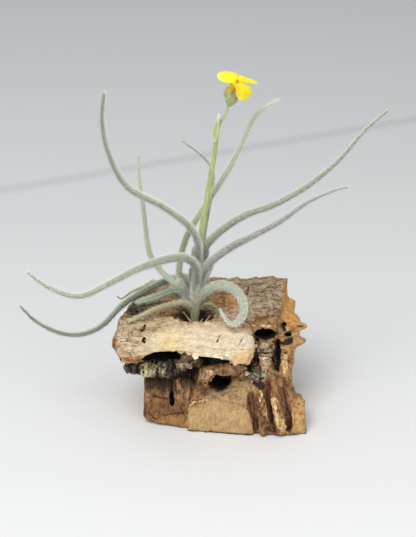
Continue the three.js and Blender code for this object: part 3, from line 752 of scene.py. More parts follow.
ROOTSTOCK = Form([[-14, -8, 47], [-15.5, -7.5, 45.4], [-18, -7, 45]], [1.3, 1.5, 1.2], step=0.8)
ROOT_HALVES = [0.45, 0.35, 0.22]
ROOTS = [
    [[-15.5, -7.5, 45.5], [-16, -11, 49], [-17.5, -13, 51.5]],
    [[-15.5, -7.5, 45.5], [-13, -11, 48], [-11.5, -12.5, 51.5]],
    [[-15.5, -7.5, 45.5], [-11, -8, 47], [-8, -7, 50.5]],
    [[-16, -7.5, 45.5], [-20, -8, 47], [-23, -8, 50]],
    [[-16, -7.5, 45.5], [-18, -4, 47.5], [-20.5, -3, 50.5]],
]

BRACT_FORM = Form(
    [[-5.9, -2.5, 130.5], [-5.5, -2.7, 135], [-4.8, -2.5, 139.5], [-4.3, -2.2, 143.2]],
    [0.6, 1.3, 1.3, 0.9, 0.4], (-0.5, -1, 0), step=0.8, hairs=3)

CALYX_FOOT = (-0.3, -1, 145.9)
CALYX_MOUTH = (2.1, -1.6, 154.2)
SEPAL_SEAM = 0.1  # depth of the three seams between the sepals, as a share of the radius
CALYX_PROFILE = [[0.7, 0.1], [1.35, 0.8], [1.95, 1.5], [2.5, 2.4], [2.85, 3.3], [2.95, 4.2], [2.85, 4.9],
                 [2.5, 5.9], [2.2, 6.6], [1.9, 6.7], [1.7, 6.3], [1.7, 4.9], [1.2, 3], [0.3, 2.6]]
SEPAL_WALL = 0.5
SEPAL_HALVES = [2.0, 2.0, 1.6, 0.8]
SEPAL_TIPS = [
    ([[-0.3, -2.6, 150.8], [-0.4, -2.9, 153.2], [0.1, -2.6, 155]], (-0.5, -0.85, 0)),
    ([[2.8, -3.3, 150.6], [3.1, -3.4, 153], [2.8, -2.9, 155]], (0, -1, 0)),
    ([[2.4, 0.6, 150.8], [2.9, 0.9, 153.4], [2.9, 0.7, 156]], (0, 1, 0)),
]

PETALS = {
    "petal_left": Petal(
        [[1.0, -1.3, 150.2], [2.6, -0.9, 155.2], [3.7, -0.5, 158.1], [-1.3, -0.9, 159.2],
         [-5.2, -1.2, 159.2]],
        [0.9, 1.3, 3.4, 4.4, 4.8, 4.9, 4.4, 3.1], upper=(1, -0.3, 0)),
    "petal_right": Petal(
        [[2.2, -0.5, 150.2], [2.4, -0.2, 155.2], [3.1, 0.7, 158], [7.6, 2.4, 156.9], [12.1, 3.8, 155]],
        [0.9, 1.9, 4.2, 4.3, 3.8, 3.2, 2.4, 1.4], upper=(-0.68, -0.72, 0)),
    "petal_front": Petal(
        [[1.8, -2.2, 150.2], [3.0, -3.0, 154.4], [5.2, -4.6, 156.8], [6.1, -7.4, 154.8],
         [4.3, -9.2, 150.9]],
        [0.8, 2.2, 4.6, 4.9, 4.8, 4.3, 3.5, 2.3], upper=(-0.52, 0.85, 0), finish=DEEP_PETAL),
}

STAMEN_COUNT = 6
STAMEN_FOOT = (1.8, -1.5, 149.6)
STAMEN_LENGTH = 4.4
STAMEN_RING = 0.7
STAMEN_HALVES = [0.16, 0.16, 0.16, 0.16, 0.3, 0.28]
PISTIL = Form([[1.75, -1.5, 149.2], [1.9, -1.55, 150]], [1.1, 1.1], FRONT, step=0.3)


# Making the plant

SHEATH_HALVES = [0.9, 2.1, 2.6, 2.5, 1.8]
SHEATH_DROP = 1.3  # how far a sheath lies under its leaf
SHEATH_FOOT = 2  # how far it starts below the line of its leaf
SHEATH_BEFORE, SHEATH_AFTER = 0.45, 0.12  # shares of the leaf's first two spans that it reaches beyond them


def settle(piece, node, material):
    """Gives a finished piece its material, lets it ride, and lets it stand for its node."""
    piece.data.materials.clear()
    piece.data.materials.append(material)
    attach(piece, "root")
    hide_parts(node)


def grow_haired(name, section, form, **shape):
    """Grows a piece, refines it and sets its hairs."""
    rings = form.rings()
    piece = refine(grow(name, section, rings), rings, **shape)
    set_hairs(piece, form.hairs, form.hair)
    return piece


def make_leaves():
    for forms, section, ending, slot in ((LEAVES, leaf_section(), "felted", "silver_leaf"),
                                         (OLD_LEAVES, round_section(sides=10), "dried", "old_leaf")):
        for name, form in forms.items():
            leaf = grow_haired(f"{name}_{ending}", section, form)
            settle(leaf, name, form.finish)
        remove(section)


def make_sheath(section, leaf):
    """The broad base of a leaf, which wraps the shoot below and opens towards the leaf's upper side."""
    first, second, third = (np.array(point, float) for point in leaf.path[:3])
    foot = first - SHEATH_BEFORE * (second - first) - (0, 0, SHEATH_FOOT)
    path = [foot, first, second, second + SHEATH_AFTER * (third - second)]
    rings = Form(path, SHEATH_HALVES, leaf.upper, step=1.2).rings()
    for ring in rings:
        ring.at = ring.at - ring.up * SHEATH_DROP * MM
    return refine(grow("leaf_sheath", section, rings), rings, wall=0.4)


def make_shoots():
    section = round_section(sides=20)
    wrap = blade_section(cup=0.72)
    for name, form in SHOOTS.items():
        rings = form.rings()
        shoot = refine(grow(f"{name}_felted", section, rings), rings)
        shoot = join([shoot] + [make_sheath(wrap, LEAVES[leaf]) for leaf in SHEATHED[name]])
        set_hairs(shoot, form.hairs, form.hair)
        settle(shoot, name, SHOOT)
    remove(wrap)
    stem = grow_haired("flower_stem_fresh", section, FLOWER_STEM)
    settle(stem, "flower_stem", STEM)
    remove(section)


def make_roots():
    threads = [Form(path, ROOT_HALVES, step=0.7) for path in ROOTS]
    roots = rods("roots_dry", [ROOTSTOCK, *threads], sides=8)
    smooth(roots)
    settle(roots, "roots", STRAW)


def make_petals():
    section = blade_section(cup=0.18)
    for name, form in PETALS.items():
        rings = form.rings()
        petal = grow(f"{name}_limb", section, rings)
        roughen(petal, "CLOUDS", size=3.0, depth=1.0)
        refine(petal, rings, PETAL_THICKNESS, levels=2)
        settle(petal, name, form.finish)
    remove(section)


def calyx_axis():
    return (Vector(CALYX_MOUTH) - Vector(CALYX_FOOT)).normalized()


def make_calyx(sepal_section):
    """A closed cup with its wall turned inwards at the rim, and three sepal tips standing on it."""
    section = round_section(sides=24)
    for vertex in section.data.vertices:
        turn = math.atan2(vertex.co.y, vertex.co.x)
        vertex.co *= 1 - SEPAL_SEAM * max(0.0, math.cos(3 * turn)) ** 6
    axis = calyx_axis()
    up = axis.orthogonal().normalized()
    rings = [Ring((Vector(CALYX_FOOT) + axis * height) * MM, axis, up, radius * MM)
             for radius, height in CALYX_PROFILE]
    parts = [grow("calyx_felted", section, rings)]
    remove(section)
    for path, upper in SEPAL_TIPS:
        tip = grow("sepal_tip", sepal_section, Form(path, SEPAL_HALVES, upper, step=0.7).rings())
        apply(tip, "SOLIDIFY", thickness=SEPAL_WALL * MM, offset=0)
        height = rows_of(tip)[:, 2]
        paint(tip, "sepal", (height - height.min()) / np.ptp(height))
        parts.append(tip)
    calyx = refine(join(parts), rings)
    set_hairs(calyx, per_mm2=6, length=0.35)
    settle(calyx, "calyx", CALYX)


def make_bract_and_calyx():
    section = blade_section(cup=-0.4)
    bract = grow_haired("bract_papery", section, BRACT_FORM, wall=0.35, levels=2)
    settle(bract, "bract", BRACT)
    make_calyx(section)
    remove(section)


def make_stamens():
    """Six stamens in a ring round the foot of the pistil."""
    forms = [PISTIL]
    for i in range(STAMEN_COUNT):
        turn = 2 * math.pi * i / STAMEN_COUNT
        foot = Vector(STAMEN_FOOT) + Vector((math.cos(turn), math.sin(turn), 0)) * STAMEN_RING
        forms.append(Form([foot, foot + calyx_axis() * STAMEN_LENGTH], STAMEN_HALVES, FRONT, step=0.4))
    stamens = refine(rods("stamens_golden", forms, sides=8))
    settle(stamens, "stamens", STAMEN)


# The bark

# Lumps and ridges to add, each a path in millimetres and the half width along it
BARK_LUMPS = [
    ([[-5.5, -15, 30.3], [-8.5, -18.2, 27.6], [-11.4, -20, 25]], [2.2, 2.7, 1.7]),  # chunk over the cave
    ([[-21, -15.5, 31], [-18, -16.8, 32], [-15, -15.5, 31.5]], [1.7, 2.2, 1.5]),  # rubble under the log
    ([[15.8, -14, 38], [18, -14.8, 38.3], [20.8, -12, 38]], [1.5, 2.0, 1.5]),  # lumps of the column
    ([[16.2, -16.5, 35], [20, -15, 34.6]], [1.6, 1.6]),
    ([[17.3, -16.5, 33], [17.3, -18.3, 29]], [2.2, 2.2]),
    # ridges
    ([[14.2, -22.5, 20.5], [15.2, -24.2, 16], [16.4, -26.3, 11], [17.4, -28.4, 4.5]], [0.8, 1.2, 1.4, 1.1]),
    ([[20.8, -24, 17.5], [22.5, -25.8, 13.5], [24, -26.8, 9], [25.4, -27.8, 3.5]], [1.1, 1.8, 1.9, 1.5]),
    ([[24, -17.8, 24], [25.2, -19.8, 19.5]], [0.7, 0.8]),
    ([[10, -25.4, 1.1], [16, -26.8, 1.1], [22, -27.4, 1.1], [28, -27.4, 1.1], [32, -26.8, 1.1]],
     [1.0, 1.0]),
    ([[10, -23.8, 1.1], [16, -25.2, 1.1], [22, -25.8, 1.1], [28, -25.8, 1.1], [32, -25.2, 1.1]],
     [1.1, 1.1]),
    # end of the log
    ([[3, -23.5, 38.5], [5.8, -23, 37], [8, -22.4, 35.6], [10.6, -20.8, 35.2]], [1.4, 1.6, 1.8, 1.7]),
    ([[10, -20.6, 40.5], [10.3, -20, 35.2]], [1.5, 1.6]),
    # in the furrows of the left foot
    ([[-17.4, -13, 19], [-17.4, -15.8, 13], [-17.4, -17, 8]], [1.6, 1.7, 1.3]),
    ([[-27, -12, 22], [-26.9, -13.5, 16], [-27.1, -14.5, 11], [-26.8, -15, 5]], [0.7, 1.0, 0.6, 1.1]),
]

# Holes and valleys to cut
BARK_CUTS = [
    # slot in the log
    ([[-36.4, -13.8, 51.4], [-37.5, -17.5, 49.8], [-38.9, -20.4, 48.6]], [0.6, 1.2, 0.5]),
    ([[-37.2, -26, 46.7], [-37.2, -19, 44.6]], [1.0, 0.9]),  # worm hole under it
    ([[-37.2, -26, 45.3], [-37.2, -19, 43.2]], [1.0, 0.9]),
    ([[-8, -13.4, 51.2], [-6.8, -10.5, 50.8]], [0.8, 0.9]),
    ([[-52.5, -24.6, 37], [-47, -20, 38]], [1.8, 1.0]),  # hollow in the left end of the log
    # valleys
    ([[10, -21.6, 17], [10.5, -24.6, 12.5], [12, -26.8, 6.5], [13.1, -30, 2.4]], [1.3, 1.8, 1.6, 0.7]),
    ([[17.5, -20.8, 22.5], [18.2, -22.6, 17], [18.8, -25.4, 12], [20, -28, 7], [21.2, -30.8, 2.4]],
     [1.4, 1.8, 1.8, 1.5, 0.7]),
    ([[25, -19.2, 20], [26, -22.2, 14], [27.3, -25, 8], [28.9, -28.8, 2.4]], [1.4, 1.8, 1.7, 0.8]),
    ([[-40.5, -26, -0.5], [-40.5, 8, -0.5]], [4.2, 4.2]),  # rounded corner of the left foot
    ([[-36, -20.5, -0.9], [-19, -24, -0.9]], [1.8, 1.8]),  # shaded under edge of the feet
    ([[-19, -26, -0.9], [-6, -27.5, -0.9], [9, -30, -0.9], [21, -31.5, -0.9], [36, -30, -0.9]], [2.0, 2.0]),
    ([[-41, -16.8, 30], [-41.2, -16.9, 22.5]], [0.9, 0.7]),  # fissures of the lip
    ([[-32.2, -17.3, 30], [-32, -17.4, 22.5]], [0.9, 0.7]),
    ([[-23.6, -17.6, 28.4], [-23.2, -17.2, 25.5], [-23, -16.8, 22]], [1.8, 2.2, 2.2]),  # end of the lip
    ([[-21.2, -17, 27.4], [-20.5, -16.6, 24.5], [-20.5, -16, 22]], [1.6, 2.2, 2.2]),
    ([[-17.5, -24, 37.4], [-13.5, -24, 37.4], [-9.5, -24.5, 36.6]], [2.0, 2.3, 1.9]),
    ([[-14, -16, 31.4], [-8, -16.5, 31.8], [-2, -17, 32], [4, -17.5, 32.4], [9, -17, 31.8]],
     [1.5, 1.8, 2.0, 2.0, 1.6]),
    ([[-22.5, -20, 23.6], [-19.5, -17.8, 23.8], [-16, -14.5, 23.4], [-13.5, -12, 22]], [2, 2.6, 2.8, 2.2]),
    ([[-14, -16, 30.6], [-10, -16.3, 31.8], [-6, -17.3, 32.8]], [1.5, 1.6, 1.4]),  # slot over the chunk
    ([[-4.5, -18, 21.5], [-2.5, -8, 19.4], [-1, 6, 18]], [4.6, 4.3, 3]),  # the cave, deeper
    ([[11, -5, 42.2], [21, -5, 42.4]], [3, 3]),  # the cavity beside the log
    ([[13.4, -19, 44], [13.3, -18.4, 38], [13.2, -17.5, 30]], [1.5, 1.6, 1.4]),
    ([[13.3, -14.5, 42], [13.4, -14.5, 36], [13.2, -14.5, 30]], [1.8, 1.5, 1.5]),
    ([[10.9, -17, 45], [12.6, -13, 44.2]], [1.0, 1.2]),
    ([[14.6, -11.2, 45.4], [17.4, -11.4, 45.1]], [0.9, 0.8]),
    ([[20, -10, 43], [23.6, -9, 42.4]], [1.6, 1.0]),
    ([[21.4, -12, 38.5], [21.5, -13, 34], [21.3, -14, 30], [22, -15, 26]], [1.0, 1.5, 1.5, 0.9]),
    ([[22, -7, 38], [22.4, -8, 33], [22.8, -11, 28]], [1.1, 1.6, 1.2]),
    ([[24, -7, 43.8], [27, 3, 42]], [1.1, 1.0]),  # holes in the right side
    ([[23.5, -10, 36.8], [27, -9.6, 37.6], [30.5, -5.6, 38.2]], [1.6, 1.9, 1.0]),
    ([[25, -4, 37.6], [30, -2, 38.2]], [1.6, 1.2]),
    # notch under the points of the right edge
    ([[33.4, -18, 22.2], [31.8, -10, 18.2], [31.4, 4, 12], [31.8, 18, 6]], [2.4, 3.6, 3.8, 3.6]),
    ([[33, -16, 25.6], [32.3, -10, 22.6], [32.2, 4, 16.4], [32.6, 18, 10.4]], [2.4, 3.3, 3.5, 3.3]),
    ([[34.4, -12, 28], [34, -2, 23.8], [34.4, 12, 17.4]], [2.2, 2.8, 2.8]),
    # crack of the left foot
    ([[-25.6, -18.4, 24.4], [-25.6, -15.6, 20], [-25.6, -15.6, 16.6], [-25.8, -14, 12], [-25.6, -17.4, 8]],
     [0.7, 0.8, 0.8, 0.8, 0.5]),
]

# The ragged under edge of the log: one path, cut in rows that lie further back and lower
UNDERCUT_PATH = [[-39.5, -24.5, 33.6], [-36.5, -24.5, 35.9], [-33.5, -24.5, 37.9], [-30, -24.5, 38],
                 [-26, -24.5, 38.4], [-21.5, -24.5, 38.8], [-17, -24.5, 38], [-12.5, -25, 37],
                 [-7, -25, 36], [-3, -25.5, 35.6], [0.5, -25.5, 36.4], [3, -25.5, 35.6]]
UNDERCUT_HALVES = [2, 2.6, 2.8, 3, 2.7, 2.9, 2.8, 2.7, 2.9, 2.8, 2, 1]
UNDERCUT_ROWS = [(0, 0), (0, -2.6), (3.4, -0.8), (3.4, -3.4), (6.8, -2), (6.8, -4.6)]

# Beds of loose crumbs: middle and reach in millimetres, how many, and their size
CRUMB_BEDS = [
    ((-17.5, -19.5, 34), (5.5, 3, 3.5), 26, 3.2),
    ((16, -15, 39.5), (3.5, 4, 3), 22, 2.8),
    ((12, -18, 26), (5, 3, 3), 26, 2.4),
    ((-9.5, -18.5, 25.5), (3, 2, 3), 10, 2.2),
    ((-41, -2, 49.5), (5.5, 4.5, 1.5), 34, 1.7),
    ((-15, -4, 46.5), (10, 5, 2), 36, 1.8),
    ((-33, -15, 30), (12, 3, 1.5), 34, 2.0),
    ((-2, -15, 27), (7, 3, 3), 14, 1.8),
    ((27, -8, 33), (4, 3, 8), 14, 1.4),
]

# Zones of the bark: lighter and darker colour, middle and reach in millimetres, raggedness, softness
BARK_ZONES = [
    ("#8f7a62", "#4b3e31", (0, 31, 24), (46, 10, 32), 0.5, 0.3),  # outer bark at the back
    ("#c2ab8b", "#7a6650", (0, 9, 54), (36, 20, 8), 0.3, 0.2),  # weathered top
    ("#dcc09c", "#a98c69", (3, -3, 50), (9, 6, 3), 0.5, 0.4),
    ("#e0bda6", "#b8937a", (-33, 17, 54), (14, 8, 3), 0.5, 0.3),
    ("#e0c79f", "#ae8f68", (-20, -14, 51.5), (36, 7, 3), 0.5, 0.4),  # top of the log
    ("#ecdbbd", "#d5be9b", (-11, -24, 43.5), (30, 13, 8.5), 0.35, 0.25),  # its cream face
    ("#efd9a4", "#dfc48f", (-25.5, -24, 44.5), (5, 5, 6), 1.0, 0.8),
    ("#e3cbaa", "#b3966f", (-46, -20, 42), (9.5, 12, 10), 0.5, 0.35),  # its left end
    ("#bd8044", "#7c4a23", (-53, -18, 42), (3.4, 10, 11), 0.4, 0.4),
    ("#cf935a", "#8a5830", (-41, -25, 37), (7, 3, 1.8), 0.5, 0.4),
    ("#e8c590", "#d9b27a", (9, -25, 36.8), (7.5, 8, 4.8), 0.2, 0.15),  # broken face at its right end
    ("#d9a561", "#b07a3d", (32, 8, 46), (7, 22, 12), 0.3, 0.2),  # right end of the top
    ("#d8ae74", "#946838", (29, -5, 32), (7, 12, 12), 0.4, 0.3),
    ("#b3a587", "#3a3026", (-33, -17, 26.5), (19, 9, 5.5), 0.4, 0.3),  # lip
    ("#6f675a", "#241d17", (-43, -16, 27), (5, 7, 5), 0.5, 0.4),
    ("#d5c894", "#9c8f62", (-36.8, -17, 26.5), (2.2, 4, 3.5), 0.6, 0.3),
    ("#8d6139", "#553924", (-28, -20, 5), (13, 9, 9), 0.4, 0.3),  # left foot
    ("#b07f4c", "#86603a", (-28, -22, 1.5), (13, 6, 4), 0.5, 0.4),
    # painted shade in the recess of the upper left foot, under the lip
    ("#4b3220", "#1a110b", (-28, -9, 20), (13, 9, 7), 0.5, 0.4),
    ("#c6a27b", "#8d6c4a", (0, -18, 17), (14, 6, 5), 0.4, 0.3),  # tan foot
    ("#cdb080", "#a88559", (7.5, -17, 19), (5.5, 6, 4.8), 0.5, 0.3),
    ("#c8a675", "#ae8a5c", (-3, -23, 4.5), (16.5, 10, 9.6), 0.25, 0.08),
    ("#ab7d4d", "#5f3e27", (20, -24, 10), (9, 12, 16), 0.4, 0.4),  # ridges
    ("#d6aa70", "#a57a47", (33, -23, 7), (4.5, 10, 9), 0.3, 0.2),
    ("#bf966a", "#785536", (-2, -18, 28), (12, 6, 6), 0.5, 0.4),
    ("#100b08", "#0a0705", (-31, -11, 34), (15, 7.5, 3.6), 0.3, 0.12),  # painted shade, near black, in the hollow under the log
    ("#100b08", "#0a0705", (-3, -12, 34), (11, 7.5, 3.4), 0.3, 0.12),
    ("#c2aa8c", "#2e2219", (-17.5, -19, 32.6), (5, 7, 3.6), 0.6, 0.3),  # rubble
    ("#7d6248", "#1c130d", (-19, -14, 26), (5.5, 7, 2.6), 0.5, 0.3),
    ("#b7ac92", "#3b3228", (12.5, -18, 26.5), (6, 6, 3.6), 0.8, 0.4),
    ("#c0a687", "#45331f", (16.5, -16, 36), (4.3, 7, 6.5), 0.6, 0.3),
    # painted shade, near black, in the recess over the chunk
    ("#1a110b", "#0c0806", (-8, -11, 30.5), (7, 6, 2.4), 0.6, 0.25),
    ("#2a1b11", "#0e0906", (-18.5, -13, 23.2), (6, 6, 3.4), 0.6, 0.25),  # shade left of the chunk
    ("#5d5346", "#1c1510", (-25.5, -16.5, 28), (2.4, 5, 4.5), 0.5, 0.3),  # end of the lip
    ("#100b08", "#0a0705", (-3.5, -7, 18.6), (6.2, 9.5, 4.5), 0.4, 0.12),  # painted shade, near black, in the cave
    ("#100b08", "#0a0705", (16.5, -4, 41.8), (7.5, 7, 3.4), 0.6, 0.15),  # painted shade, near black, in the cavity
    ("#1c120b", "#0a0705", (23.2, -8, 32), (1.1, 8, 6.5), 0.9, 0.25),  # painted shade in the slot beside it
    # painted shade in a hole of the right side
    ("#3a2414", "#0e0906", (27, -6, 37.2), (4.5, 4, 1.5), 0.6, 0.2),
    ("#d2985f", "#94633f", (-25.5, 8, 52), (6, 4, 3), 0.6, 0.4),  # bare patches of the top
    ("#dda768", "#a2744a", (-0.5, 6, 52), (8, 5.5, 3), 0.6, 0.4),
    ("#4f3926", "#1a110b", (0, -27, -0.2), (40, 10, 1.2), 0.7, 0.5),  # painted shade where the foot meets the table
    ("#6b5c45", "#1d1610", (-41, -1, 49), (7, 6, 4.5), 0.6, 0.3),  # pit
    ("#5d3a21", "#140c08", (-15.5, -5, 46.5), (12, 7.5, 5), 0.5, 0.3),  # pocket of the plant, dark brown and deepened by painted shade
    ("#8c9640", "#6b7630", (-1.5, 4.8, 51.8), (0.5, 3.6, 3), 0.8, 0.5),  # moss
    ("#b3b36a", "#6b7434", (13.5, -19, 27.5), (1.6, 2, 1.0), 0.9, 0.4),
]

# Brush strokes on the bark, a broad coat and a fine one over it: colour, half width, how far the surface
# comes out or goes in, and the path
# near black: the painted shade of gaps, holes, slits and fissures
GAP_SHADE = "#110b08"
BROAD_STROKES = [
    ("#7c5237", 1.9, -0.2, [[10, -21, 17.5], [10.6, -23.5, 11.5], [12, -24, 6], [13.4, -27, 1]]),  # valleys
    ("#794d33", 1.8, -0.2, [[17.8, -21, 25], [18.4, -21.5, 16.5], [19, -23.5, 10.5], [20.5, -26, 6.5],
     [22, -28, 1]]),
    ("#83563b", 1.9, -0.2, [[25, -19, 21], [26, -20.5, 13], [27.5, -23.5, 7.5], [29.5, -25.5, 1]]),
    ("#6b4a32", 0.9, -0.1, [[14, -22.5, 18], [15.5, -25.5, 12], [17, -27.5, 6.5], [17.8, -28.5, 3]]),
    ("#38271b", 2.0, -0.1, [[10, -15, 24.5], [13, -20, 23], [15.5, -21.5, 22]]),  # over the ridges
    # shade left of the chunk
    ("#2a1a10", 1.7, -0.3, [[-22, -14, 24.5], [-18.5, -10, 24], [-15, -9, 23.5]]),
    # painted shade in the gap between the log and the lip
    ("#1b120c", 1.3, -0.4, [[-46, -14.5, 29.6], [-42.5, -15, 30.2], [-38.5, -14.5, 30.8],
     [-30, -14.5, 31]]),
    ("#4a3323", 0.8, -0.1, [[-25.5, -12.5, 21], [-26, -10.5, 10.5], [-25.5, -16.5, 7]]),  # left foot
    ("#553c28", 0.7, -0.1, [[-17.5, -11, 22], [-17, -15, 15], [-17, -18.5, 12]]),
    # ledge over the cave
    ("#a8845c", 1.5, 0.5, [[-10, -18.5, 28], [-6, -17.5, 29.5], [0, -17, 30], [5, -17.5, 28.5],
     [6.5, -16, 23]]),
    # shade over that ledge
    (GAP_SHADE, 1.3, -0.3, [[-12.5, -11, 28.5], [-9, -14.5, 31], [-4, -16, 32], [2, -16.5, 32],
     [6, -16.5, 31.5]]),
    # painted shade in the gaps beside the column
    (GAP_SHADE, 1.2, -0.2, [[13.3, -12.8, 41], [13.3, -12.8, 36], [13, -14, 31], [12, -14.5, 28]]),
    (GAP_SHADE, 1.4, -0.2, [[12.7, -16.3, 40.5], [13, -16.4, 37.5], [12.8, -13.5, 33.5], [12.5, -10.5, 30.5]]),
    (GAP_SHADE, 1.2, -0.2, [[21.4, -11, 38], [21.6, -9, 33], [22, -9, 29.5], [22.3, -13, 26.5]]),
    ("#5b3b26", 1.5, -0.1, [[-12.5, -19, 21.5], [-11, -20, 19.5], [-9.5, -17.5, 17.5]]),  # under the chunk
    ("#b89270", 1.6, 0.2, [[-8, -20.6, 28.6], [-10, -21.4, 26.6], [-12, -21.6, 25.2]]),  # chunk
    # ridges
    ("#e0bd8a", 0.9, 0.3, [[14.6, -22.5, 20], [15.6, -24, 16], [16.8, -26, 11], [17.6, -27.6, 6]]),
    ("#d8b27c", 1.9, 0.4, [[21.2, -24.5, 16], [22.8, -26, 12], [24.2, -27.3, 7], [25, -28, 3.5]]),
    ("#b99a78", 1.9, 0.2, [[15.5, -17.5, 33.5], [16.5, -18.5, 30]]),
    ("#b8ad92", 1.2, 0.3, [[-35, -16.5, 27.5], [-29.5, -16.5, 27.5]]),
    ("#d4c698", 1.2, 0.3, [[-37, -16, 28], [-36.7, -16, 24.5]]),
    ("#a87a4c", 1.1, 0.1, [[-22.8, -14.2, 20.5], [-22.2, -14.2, 17]]),
    ("#dcb884", 1.2, 0.2, [[27, -8.5, 32.5], [26, -12.5, 29.5], [25.5, -15, 25.5]]),
    ("#c78d50", 0.9, 0.2, [[-28, -5, 50], [-25, -9.5, 50.5], [-21.5, -12, 50.5]]),
    ("#6a412a", 1.1, -0.2, [[25.5, -16.5, 22.5], [27, -18, 20]]),
]
